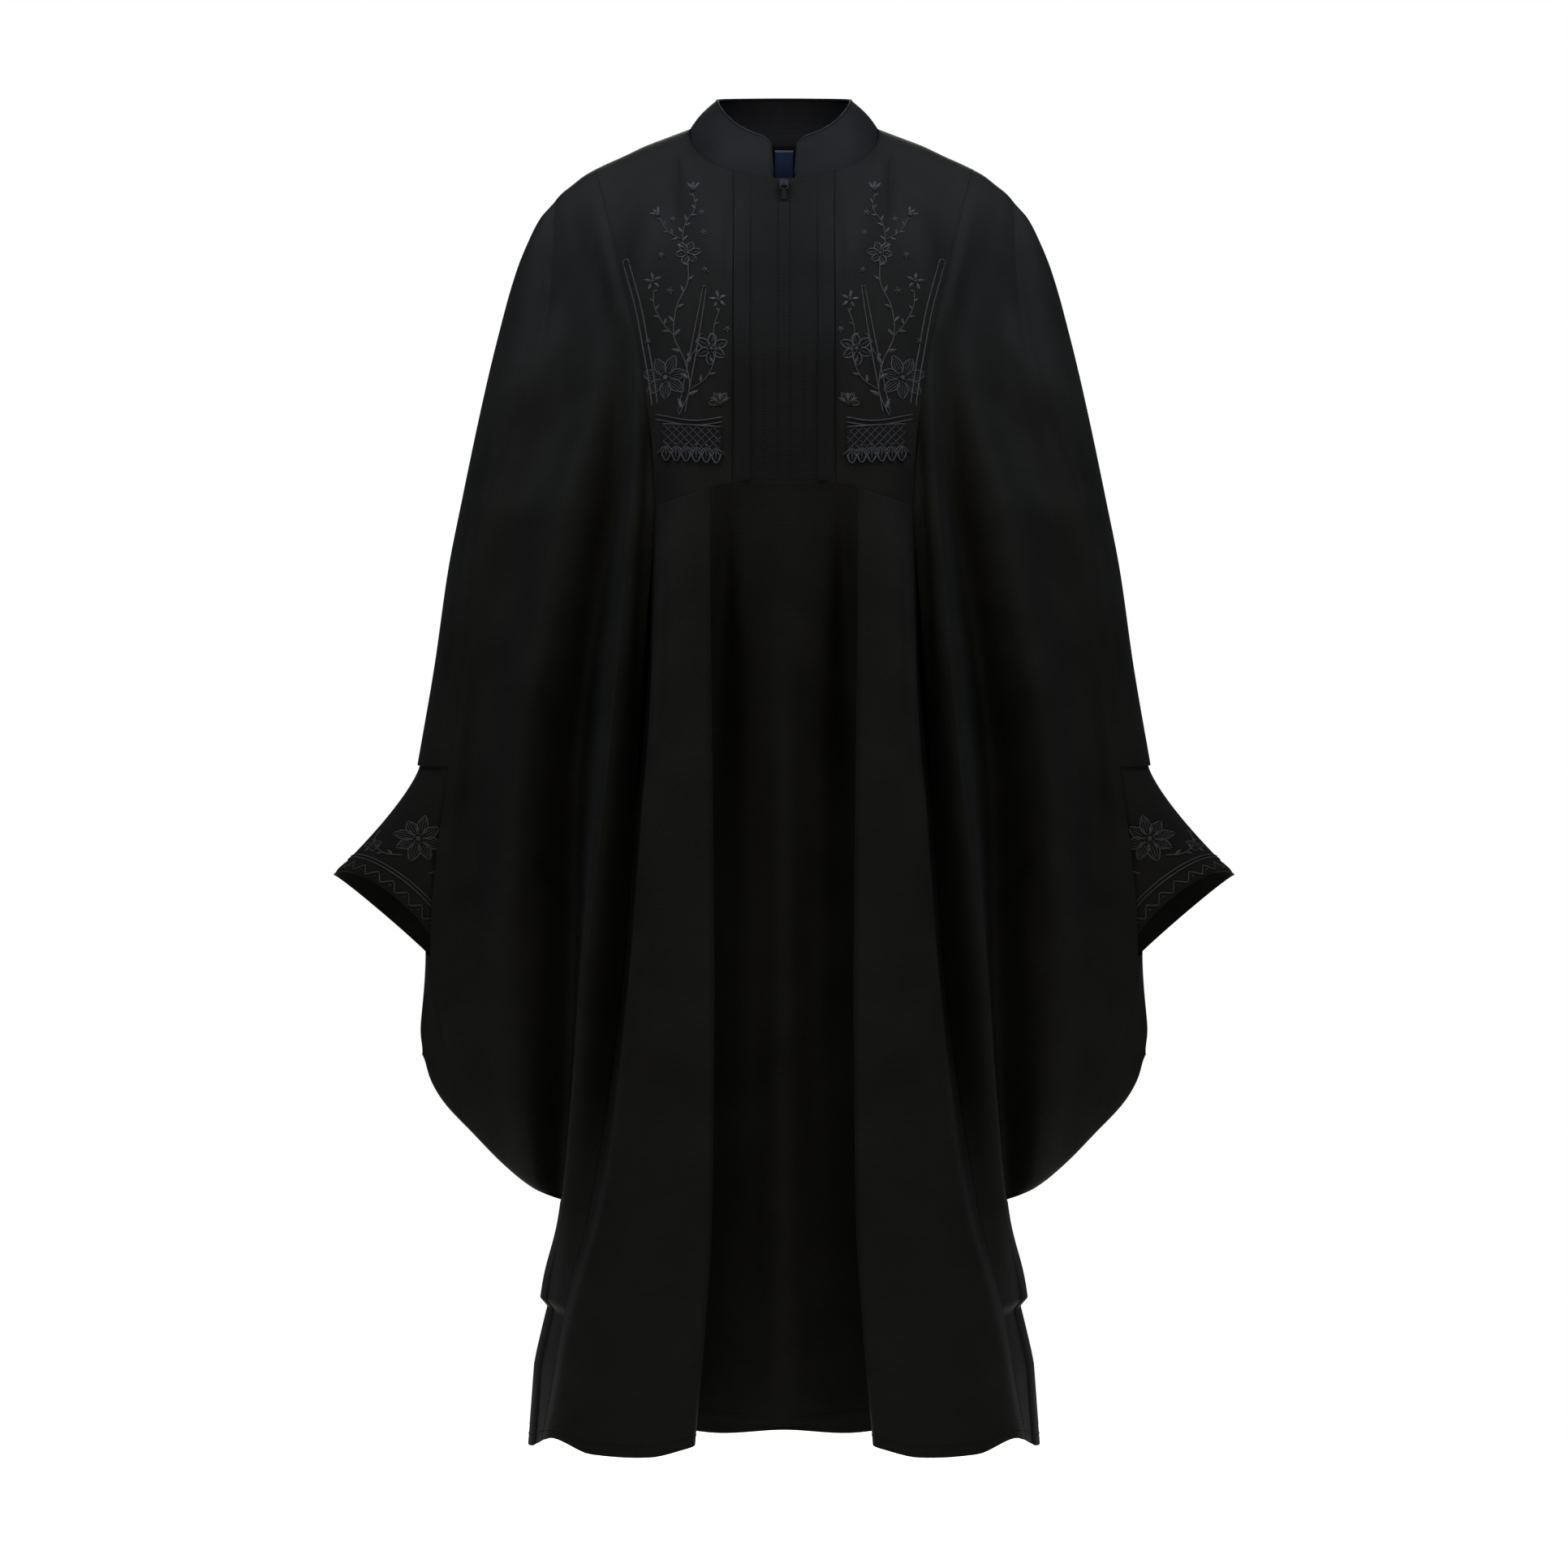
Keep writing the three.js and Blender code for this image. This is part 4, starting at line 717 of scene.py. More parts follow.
BACK_CREASES = (
    Crease((30, -120), (26, -480), -1.8, 14, 3),
    Crease((120, -200), (112, -620), -2.4, 12, -4),
    Crease((150, -160), (168, -520), 2.2, 16, 5),
    Crease((205, -240), (252, -560), -2.6, 15, 6),
    Crease((240, -420), (282, -720), 2.2, 14, -5),
    Crease((176, -420), (206, -760), -3.0, 12, -4),
    Crease((216, -600), (252, -900), -2.8, 14, 7),
    Crease((270, -680), (286, -880), 2.2, 12, 3),
    Crease((18, -560), (24, -1160), 2.6, 13, 4),
    Crease((74, -620), (88, -1200), -2.8, 11, -3),
    Crease((134, -700), (150, -1180), 2.2, 12, 4),
    Crease((170, -820), (196, -1170), -2.4, 10, 3),
    Crease((48, -60), (70, -150), -1.2, 8, 2),
)
PLEAT_CREASES = (Crease((45, -50), (45, -345), -4.2, 6), Crease((57, -70), (55, -345), 1.6, 5))
SIDE_SEAM_CREASES = (Crease((124, -290), (134, -600), -6.0, 6),)
PLACKET_CREASES = (Crease((8, -120), (9, -300), -0.4, 5), Crease((35, -60), (35, -330), 1.2, 3.5))
YOKE_CREASES = (
    Crease((120, -60), (138, -190), 1.8, 13, 3),
    Crease((96, -70), (70, -190), -1.4, 9, 4),
    Crease((84, -130), (60, -240), 1.2, 8, 3),
)


# ---------------------------------------------------------------- meshes
def grid_normals(grid: np.ndarray, facing: int) -> np.ndarray:
    """Unit directions out of the cloth at the points of a grid.

    Args:
        grid: Rows by columns of points.
        facing: 1 where columns run toward +X on the front, -1 for a mirrored or back panel.

    Returns:
        One direction for each point.
    """
    down = np.gradient(grid, axis=0)
    right = np.gradient(grid, axis=1)
    normal = np.cross(down, right) * facing
    length = np.linalg.norm(normal, axis=2, keepdims=True)
    return normal / np.maximum(length, 1e-9)


def running_lengths(places: np.ndarray, axis: int = 0) -> np.ndarray:
    """Distances from the first point, along one axis of a path or a grid."""
    steps = np.linalg.norm(np.diff(places, axis=axis), axis=-1)
    start = np.zeros_like(np.take(steps, [0], axis=axis))
    return np.concatenate([start, np.cumsum(steps, axis=axis)], axis=axis)


def cell_corners(index: np.ndarray) -> list[np.ndarray]:
    """Indices of the four corners of every cell of a grid, in turn round the cell."""
    return [index[:-1, :-1], index[1:, :-1], index[1:, 1:], index[:-1, 1:]]


def make_object(
    name: str, places: np.ndarray, faces: list, uv: np.ndarray | None = None, edge: np.ndarray | None = None
) -> bpy.types.Object:
    """A mesh object at the origin.

    Args:
        name: Name of the piece.
        places: Points in mm.
        faces: Index lists.
        uv: A place on the cloth for each point, in metres.
        edge: Each point's distance from the cloth's edge, in metres.

    Returns:
        The object, smooth shaded.
    """
    mesh = bpy.data.meshes.new(name)
    mesh.from_pydata((np.asarray(places) * MM).tolist(), [], [list(map(int, f)) for f in faces])
    if uv is not None:
        layer = mesh.uv_layers.new(name="cloth")
        index = np.empty(len(mesh.loops), int)
        mesh.loops.foreach_get("vertex_index", index)
        layer.data.foreach_set("uv", np.asarray(uv, float)[index].ravel())
    if edge is not None:
        mesh.attributes.new("edge", "FLOAT", "POINT").data.foreach_set("value", np.asarray(edge, float))
    mesh.polygons.foreach_set("use_smooth", [True] * len(mesh.polygons))
    mesh.update()
    obj = bpy.data.objects.new(name, mesh)
    bpy.context.scene.collection.objects.link(obj)
    return obj


def select_only(obj: bpy.types.Object) -> None:
    """Makes an object the active and only selected one."""
    bpy.ops.object.select_all(action="DESELECT")
    bpy.context.view_layer.objects.active = obj
    obj.select_set(True)


def apply_modifier(obj: bpy.types.Object, kind: str, **settings: object) -> None:
    """Adds a modifier with its settings and applies it."""
    select_only(obj)
    modifier = obj.modifiers.new(kind.lower(), kind)
    for key, value in settings.items():
        setattr(modifier, key, value)
    bpy.ops.object.modifier_apply(modifier=modifier.name)
    obj.select_set(False)


def smooth_by_angle(obj: bpy.types.Object, degrees: float = 40.0) -> None:
    """Smooth shading that leaves the sharper edges sharp."""
    select_only(obj)
    bpy.ops.object.shade_smooth_by_angle(angle=math.radians(degrees))
    obj.select_set(False)


@dataclass
class ClothPanel:
    """A panel of cloth on a grid of outer points, with creases, sewn edges and a hem."""

    name: str
    grid: np.ndarray
    facing: int = 1
    kept: np.ndarray | None = None
    creases: tuple[Crease, ...] = ()
    wall: float = WALL
    closed: bool = False
    raised: np.ndarray | None = None
    pinned: bool = True
    shared: tuple[Crease, ...] = ()

    def shaped(self) -> np.ndarray:
        """The grid with its creases; at its edges it has only those shared with its neighbours."""
        normal = grid_normals(self.grid, self.facing)
        x, z = np.abs(self.grid[..., 0]), self.grid[..., 2]
        lift = np.zeros(self.grid.shape[:2])
        for crease in self.creases:
            lift += crease.lift(x, z)
        if self.pinned:
            lift *= self.inwardness()
        for crease in self.shared:
            lift += crease.lift(x, z)
        if self.raised is not None:
            lift += self.raised
        return self.grid + normal * lift[..., None]

    def inwardness(self) -> np.ndarray:
        """0 at the first and last column and at the top row, 1 some cells inside them."""
        rows, columns = self.grid.shape[:2]
        row, column = np.arange(rows)[:, None], np.arange(columns)[None, :]
        side = np.minimum(column, columns - 1 - column) / 4
        return np.clip(side, 0, 1) * np.clip(row / 4, 0, 1)

    def cloth_places(self, grid: np.ndarray) -> np.ndarray:
        """Places on the flat cloth in metres: distance along the row, and down the column."""
        u = running_lengths(grid, 1)
        return np.stack([u - u.mean(axis=1, keepdims=True), -running_lengths(grid)], axis=-1) * MM

    def edge_distances(self, grid: np.ndarray) -> np.ndarray:
        """Distance of each point from the cloth's nearest edge, in metres."""
        left, top = running_lengths(grid, 1), running_lengths(grid)
        ends = np.minimum(top, top[-1] - top)
        if not self.closed:
            ends = np.minimum(ends, np.minimum(left, left[:, -1:] - left))
        return ends * MM

    def build(self) -> bpy.types.Object:
        """The panel as a closed thin shell.

        Returns:
            The object, with its UV map `cloth` and its attribute `edge`.
        """
        grid = self.shaped()
        rows, columns = grid.shape[:2]
        wrap = columns - 1 if self.closed else columns
        index = np.arange(rows)[:, None] * columns + np.arange(columns)[None, :] % wrap
        kept = self.kept if self.kept is not None else np.ones((rows - 1, columns - 1), bool)
        corners = cell_corners(index)
        if self.facing < 0:
            corners = corners[::-1]
        faces = np.stack([c[kept] for c in corners], axis=1)
        used, renumbered = np.unique(faces, return_inverse=True)
        faces = renumbered.reshape(faces.shape)
        places = grid.reshape(-1, 3)[used]
        uv = self.cloth_places(self.grid).reshape(-1, 2)[used]
        edge = self.edge_distances(self.grid).ravel()[used]
        obj = make_object(self.name, places, faces.tolist(), uv, edge)
        apply_modifier(
            obj, "SOLIDIFY", thickness=self.wall * MM, offset=-1, use_even_offset=True,
            use_quality_normals=True, thickness_clamp=0.9,
        )
        smooth_by_angle(obj)
        return obj


def cord_uv(along: np.ndarray, round_at: np.ndarray) -> np.ndarray:
    """Places on a cord's skin in metres: along it, and round it."""
    return np.stack([np.repeat(along, len(round_at)), np.tile(round_at, len(along))], axis=1) * MM


def tube(
    path: np.ndarray, way: np.ndarray, width: float, height: float, sides: int = 8
) -> tuple[np.ndarray, list]:
    """A closed cord of oval section that lies along a path.

    Args:
        path: Points in mm.
        way: Direction out of the cloth at each point.
        width: Width of the cord.
        height: Its thickness, out of the cloth.
        sides: Faces round it.

    Returns:
        Points and faces.
    """
    ahead = np.gradient(path, axis=0)
    ahead /= np.maximum(np.linalg.norm(ahead, axis=1, keepdims=True), 1e-9)
    aside = np.cross(ahead, way)
    aside /= np.maximum(np.linalg.norm(aside, axis=1, keepdims=True), 1e-9)
    up = np.cross(aside, ahead)
    count = len(path)
    taper = np.ones(count)
    taper[[0, -1]] = 0.45
    turn = 2 * np.pi * np.arange(sides) / sides
    ring = (
        np.cos(turn)[None, :, None] * aside[:, None] * (width / 2)
        + np.sin(turn)[None, :, None] * up[:, None] * (height / 2)
    ) * taper[:, None, None]
    places = (path[:, None] + ring).reshape(-1, 3)
    faces = []
    for i in range(count - 1):
        for k in range(sides):
            a, b = i * sides + k, i * sides + (k + 1) % sides
            faces.append((a, b, b + sides, a + sides))
    faces.append(tuple(range(sides))[::-1])
    faces.append(tuple(range((count - 1) * sides, count * sides)))
    return places, faces


class MeshParts:
    """Points and faces of several small forms that become one piece."""

    def __init__(self) -> None:
        """Starts empty."""
        self.places: list[np.ndarray] = []
        self.faces: list[tuple[int, ...]] = []
        self.uv: list[np.ndarray] = []
        self.count = 0

    def add(self, places: np.ndarray, faces: list, uv: np.ndarray | None = None) -> None:
        """Adds a form, with a place on the thread for each of its points, in metres."""
        self.places.append(places)
        self.faces.extend(tuple(int(i) + self.count for i in face) for face in faces)
        self.uv.append(uv if uv is not None else np.zeros((len(places), 2)))
        self.count += len(places)

    def build(self, name: str, flip: bool = False) -> bpy.types.Object:
        """All forms as one object; `flip` makes the mirrored one."""
        places = np.concatenate(self.places)
        faces = self.faces
        if flip:
            places = mirrored(places)
            faces = [face[::-1] for face in faces]
        return make_object(name, places, faces, np.concatenate(self.uv))


# ---------------------------------------------------------------- finishes
def linear(code: str) -> tuple[float, float, float, float]:
    """An sRGB hex colour as linear values with an alpha of 1."""
    parts = [int(code[i : i + 2], 16) / 255 for i in (1, 3, 5)]
    values = [c / 12.92 if c <= 0.04045 else ((c + 0.055) / 1.055) ** 2.4 for c in parts]
    return (*values, 1.0)


def add_node(
    tree: bpy.types.NodeTree, kind: str, settings: dict | None = None, **links: tuple
) -> bpy.types.Node:
    """Adds a shader node.

    Args:
        tree: The material's tree.
        kind: The node's type, without its prefix.
        settings: Values of its sockets or of its own properties.
        links: For a socket, with _ for a space, the node and output that feed it.

    Returns:
        The node.
    """
    made = tree.nodes.new(f"ShaderNode{kind}")
    for key, value in (settings or {}).items():
        if isinstance(key, int) or key in made.inputs:
            made.inputs[key].default_value = value
        else:
            setattr(made, key, value)
    for key, (source, output) in links.items():
        socket = made.inputs[int(key[1:])] if key[1:].isdigit() else made.inputs[key.replace("_", " ")]
        tree.links.new(source.outputs[output], socket)
    return made


class Finish:
    """Shader nodes of one material, from the place on its piece to its surface.

    Every step gives the node and the output that the next step reads.
    """

    def __init__(self, name: str, on_cloth: bool = True) -> None:
        """Starts on the cloth's own UV map in metres, or on Object coordinates."""
        self.material = bpy.data.materials.new(name)
        self.material.use_nodes = True
        self.tree = self.material.node_tree
        self.tree.nodes.clear()
        if on_cloth:
            self.place = (self.add("UVMap", {"uv_map": "cloth"}), "UV")
        else:
            self.place = (self.add("TexCoord"), "Object")

    def add(self, kind: str, settings: dict | None = None, **links: tuple) -> bpy.types.Node:
        """Adds a node to this material."""
        return add_node(self.tree, kind, settings, **links)

    def noise(self, scale: float, detail: float, **settings: object) -> tuple:
        """Soft noise."""
        made = self.add("TexNoise", {"Scale": scale, "Detail": detail, **settings}, Vector=self.place)
        return made, "Fac"

    def bands(self, pitch_mm: float, direction: str, distortion: float, **settings: object) -> tuple:
        """Threads, ribs or yarns side by side."""
        values = {"bands_direction": direction, "Distortion": distortion, **settings}
        scale = BAND_SCALE / (pitch_mm * MM)
        return self.add("TexWave", {"Scale": scale, **values}, Vector=self.place), "Fac"

    def weighed(self, part: tuple, weight: float, base: tuple) -> tuple:
        """One value times a weight, on top of another."""
        return self.add("Math", {"operation": "MULTIPLY_ADD", 1: weight}, _0=part, _2=base), "Value"

    def spread(self, source: tuple, low: float, high: float, settings: dict | None = None) -> tuple:
        """A value spread from low to high."""
        made = self.add("MapRange", {"To Min": low, "To Max": high, **(settings or {})}, Value=source)
        return made, "Result"

    def ramp(self, source: tuple, colours: tuple[str, str], start: float, end: float) -> tuple:
        """Colour between two hex values as the source goes from start to end."""
        made = self.add("ValToRGB", Fac=source)
        for stop, place, code in zip(made.color_ramp.elements, (start, end), colours):
            stop.position = place
            stop.color = linear(code)
        return made, "Color"

    def bump(self, height: tuple, strength: float, distance: float) -> tuple:
        """Fine relief."""
        return self.add("Bump", {"Strength": strength, "Distance": distance}, Height=height), "Normal"

    def surface(self, settings: dict, **links: tuple) -> bpy.types.Material:
        """Ends in a Principled surface.

        Args:
            settings: Values of its sockets.
            links: What feeds its other sockets.

        Returns:
            The finished material.
        """
        shader = self.add("BsdfPrincipled", settings, **links)
        self.add("OutputMaterial", Surface=(shader, "BSDF"))
        return self.material


@dataclass(frozen=True)
class Crepe:
    """Polyester crepe: hard-twisted yarns in a plain weave, which give a dull, finely pebbled face."""

    name: str = "black polyester crepe"
    dark: str = "#0b0b09"
    light: str = "#121210"
    roughness: float = 0.66
    specular: float = 0.045
    sheen: float = 0.006
    sheen_tint: str = "#c9d4e6"
    pebble_mm: float = 1.7
    yarn_mm: float = 2.4
    relief: float = 0.35
    edge_reach: float = 0.0028

    def material(self) -> bpy.types.Material:
        """The cloth's material on its own UV map, in metres.

        Returns:
            The material. The pebbles are 0.5 mm on the cloth, drawn coarser so that they show.
        """
        work = Finish(self.name)
        pebble = work.noise(1 / (self.pebble_mm * MM), 3.0, Roughness=0.6)
        grain = work.weighed(work.bands(self.yarn_mm, "Y", 2.0, Detail=1.0), 0.35, pebble)
        tone = work.weighed(pebble, 0.45, work.noise(14.0, 4.0))
        edge = work.add("Attribute", {"attribute_name": "edge"})
        softened = {"From Max": self.edge_reach, "interpolation_type": "SMOOTHSTEP"}
        height = work.weighed(work.spread((edge, "Fac"), 0.0, 1.0, softened), 1.2, grain)
        return work.surface(
            {"Specular IOR Level": self.specular, "Sheen Weight": self.sheen, "Sheen Roughness": 0.45,
             "Sheen Tint": linear(self.sheen_tint)},
            Base_Color=work.ramp(tone, (self.dark, self.light), 0.5, 0.95),
            Roughness=work.spread(pebble, self.roughness - 0.06, self.roughness + 0.08),
            Normal=work.bump(height, self.relief, 0.0005),
        )


@dataclass(frozen=True)
class SatinThread:
    """Rayon embroidery thread in satin stitch: smooth parallel threads that glint along their sides; part of
    that glint is painted into the colour as lighter stripes along the threads.
    """

    name: str = "black rayon satin stitch"
    # Default dark and light: lighter than the cloth's black, partly painted sheen.
    dark: str = "#161616"
    light: str = "#282828"
    roughness: float = 0.34
    specular: float = 0.2
    thread_mm: float = 1.1

    def material(self) -> bpy.types.Material:
        """The thread's material.

        Returns:
            The material. Threads are 0.4 mm, drawn at more than twice that so that they show.
        """
        work = Finish(self.name)
        thread = work.bands(self.thread_mm, "X", 0.6)
        fluff = work.noise(900.0, 2.0)
        return work.surface(
            {"Specular IOR Level": self.specular},
            # Partly painted sheen: the lighter thread stripes are the threads' grain and also a painted
            # glint.
            Base_Color=work.ramp(thread, (self.dark, self.light), 0.15, 0.9),
            Roughness=work.spread(fluff, self.roughness - 0.05, self.roughness + 0.12),
            Normal=work.bump(work.weighed(fluff, 0.3, thread), 0.6, 0.0004),
        )


@dataclass(frozen=True)
class WovenTape:
    """Polyester label tape in a fine twill: a dull dark blue with a faint diagonal."""

    name: str = "navy polyester label tape"
    dark: str = "#0e1730"
    light: str = "#1b2a4d"
    rib_mm: float = 0.9

    def material(self) -> bpy.types.Material:
        """The tape's material on its own UV map."""
        work = Finish(self.name)
        twill = work.bands(self.rib_mm, "DIAGONAL", 0.4)
        return work.surface(
            {"Roughness": 0.6, "Specular IOR Level": 0.4},
            Base_Color=work.ramp(twill, (self.dark, self.light), 0.1, 0.9),
            Normal=work.bump(twill, 0.4, 0.0002),
        )


@dataclass(frozen=True)
class EnamelledZinc:
    """Die-cast zinc under black enamel: hard, half glossy and faintly orange-peeled."""

    name: str = "black enamelled zinc"
    dark: str = "#0b0b0c"
    light: str = "#151516"
    roughness: float = 0.4
    peel_mm: float = 0.8

    def material(self) -> bpy.types.Material:
        """The enamel's material on Object coordinates."""
        work = Finish(self.name, on_cloth=False)
        peel = work.noise(1 / (self.peel_mm * MM), 2.0)
        return work.surface(
            {"Specular IOR Level": 0.12, "Coat Weight": 0.05, "Coat Roughness": 0.25},
            Base_Color=work.ramp(peel, (self.dark, self.light), 0.3, 0.8),
            Roughness=work.spread(peel, self.roughness - 0.06, self.roughness + 0.14),
            Normal=work.bump(peel, 0.15, 0.0001),
        )


@dataclass(frozen=True)
class GlowingFloorBoard:
    """Matt white paint on the studio's floor with a painted glow, which is stronger the further it is from
    the garment.
    """

    name: str = "matt white board paint with painted glow"
    dark: str = "#f2f2f1"
    light: str = "#fbfbfa"
    near: float = 0.25
    far: float = 1.2
    glow_near: float = 0.2
    glow_far: float = 0.95

    def material(self) -> bpy.types.Material:
        """The paint's material on Object coordinates, with its painted glow."""
        work = Finish(self.name, on_cloth=False)
        colour = work.ramp(work.noise(1.5, 3.0), (self.dark, self.light), 0.3, 0.7)
        flat = work.add("Mapping", {"Location": (0.0, 0.0, -FLOOR_Z)}, Vector=work.place)
        reach = work.add("VectorMath", {"operation": "LENGTH"}, Vector=(flat, "Vector"))
        away = {"From Min": self.near, "From Max": self.far}
        # Painted light: the floor's emission grows away from the garment so that the floor looks white, and
        # the glow also lights the garment from below.
        return work.surface(
            {"Roughness": 0.9},
            Base_Color=colour,
            Emission_Color=colour,
            Emission_Strength=work.spread((reach, "Value"), self.glow_near, self.glow_far, away),
        )


class Slot(Enum):
    """Names of four material slots."""

    CREPE = "black_crepe"
    LACE = "lace_trim"
    LABEL = "label_cloth"
    METAL = "black_metal"


CREPE = Crepe().material()
# Painted shade: the placket's cloth is a darker copy of the same crepe, for the placket that faces front,
# away from the side and top lights.
PLACKET_CREPE_SHADED = Crepe(name="black crepe, painted darker as shade", dark="#090908", light="#0e0e0d").material()
COLLAR_CREPE = Crepe(name="black crepe, fused", light="#121213").material()
SATIN = SatinThread().material()
NET = SatinThread(
    name="black cotton net", dark="#090909", light="#111111", roughness=0.6, specular=0.06, thread_mm=0.8
).material()
# Its colours are lighter than the cloth's black, and are partly painted sheen, as on the satin thread.
LACE_CORD = SatinThread(name="black viscose lace cord", dark="#171718", light="#262627").material()
TAPE = WovenTape().material()
ENAMEL = EnamelledZinc().material()


def paint(obj: bpy.types.Object, material: bpy.types.Material) -> None:
    """Gives a piece one material."""
    obj.data.materials.clear()
    obj.data.materials.append(material)


def finish_piece(
    obj: bpy.types.Object, material: bpy.types.Material, replaced: tuple[str, ...] = ()
) -> None:
    """Dresses a piece and parents it to the garment's body.

    Args:
        obj: The piece, with its place in its mesh.
        material: Its material.
        replaced: CAD nodes that it stands for.
    """
    paint(obj, material)
    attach(obj, GARMENT)
    if replaced:
        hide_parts(*replaced)
    triangles = sum(len(p.vertices) - 2 for p in obj.data.polygons)
    LOG.info("%s: %d triangles", obj.name, triangles)


# ---------------------------------------------------------------- cloth pieces
@dataclass(frozen=True)
class Cut:
    """A cloth piece's flat cut: its width and length, and the area where that isn't a rectangle."""

    width: float
    length: float
    area: float

    def declare(self, obj: bpy.types.Object, rests_on: tuple[str, ...] = ()) -> None:
        """Does nothing with the piece."""


@dataclass
class PairedPanel:
    """A cloth panel that the garment has on the left and, mirrored, on the right."""

    left: ClothPanel
    node: str
    cut: Cut
    material: bpy.types.Material = CREPE

    def build(self) -> None:
        """Both panels, dressed."""
        for side in Side:
            name = side.name.lower()
            grid = self.left.grid if side is Side.LEFT else mirrored(self.left.grid)
            panel = replace(
                self.left, name=f"{self.left.name}_{name}", grid=grid, facing=self.left.facing * side.value
            )
            obj = panel.build()
            finish_piece(obj, self.material, (f"{self.node}_{name}",))
            self.cut.declare(obj)


def collar_top(angle: np.ndarray) -> np.ndarray:
    """Point of the collar's top edge above the seam's point at an angle."""
    share = (angle - SIZE.slit_angle) / (90 - SIZE.slit_angle)
    turn = np.radians(np.where(angle < 90, mix(SIZE.top_slit_angle, 90, share), angle))
    c = np.cos(turn)
    y = np.where(c > 0, -SIZE.top_front * c, -SIZE.top_back * c)
    front_drop = SIZE.top_front_drop * np.maximum(c, 0) ** SIZE.top_power
    z = np.where(c > 0, -front_drop, -SIZE.top_back_rise * c)
    return points(SIZE.top_half * np.sin(turn), y, SIZE.top_side_z + z)


@dataclass
class Collar:
    """Soft funnel collar with a piped edge, open in front."""

    cut: Cut = Cut(0.42, 0.06, 0.0235)
    rows: int = 14
    columns: int = 72
    wall: float = 1.4
    piping_width: float = 2.6
    piping_sunk: float = 0.6

    def grid(self) -> np.ndarray:
        """Outer points from the neck seam to the top edge, from the left end round to the right."""
        angles = np.concatenate([
            np.linspace(SIZE.slit_angle, 40, 18, endpoint=False), np.linspace(40, 180, self.columns - 18),
        ])
        heights = np.linspace(0, 1, self.rows)
        corner = np.clip((SIZE.slit_corner - angles) / (SIZE.slit_corner - SIZE.slit_angle), 0, 1) ** 1.5
        reach = heights[:, None] * (1 - SIZE.slit_end * corner)
        turn = np.radians(angles)
        out = points(np.sin(turn), -np.cos(turn), 0)
        swell = SIZE.collar_swell * np.sin(np.pi * heights)
        half = mix(neck_point(angles)[None], collar_top(angles)[None], reach[..., None])
        half = half + out[None] * swell[:, None, None]
        return np.concatenate([half, mirrored(half[:, -2::-1])], axis=1)

    def build(self) -> None:
        """The collar and its piping."""
        grid = self.grid()
        obj = ClothPanel("collar_cloth", grid, facing=-1, wall=self.wall, pinned=False).build()
        finish_piece(obj, COLLAR_CREPE, ("collar",))
        self.cut.declare(obj)
        self.build_piping(grid)

    def build_piping(self, grid: np.ndarray) -> None:
        """Covered cord round the collar's free edge: up one end, round the top and down the other."""
        normal = grid_normals(grid, -1)
        edge = [(r, 0) for r in range(1, len(grid))]
        edge += [(len(grid) - 1, c) for c in range(1, grid.shape[1])]
        edge += [(r, grid.shape[1] - 1) for r in range(len(grid) - 2, 0, -1)]
        path = np.array([grid[r, c] for r, c in edge])
        way = np.array([normal[r, c] for r, c in edge])
        path = path - way * self.piping_sunk
        parts = MeshParts()
        places, faces = tube(path, way, self.piping_width, self.piping_width, 10)
        parts.add(places, faces, cord_uv(running_lengths(path), np.linspace(0, 8, 10)))
        finish_piece(parts.build("collar_piping"), CREPE)


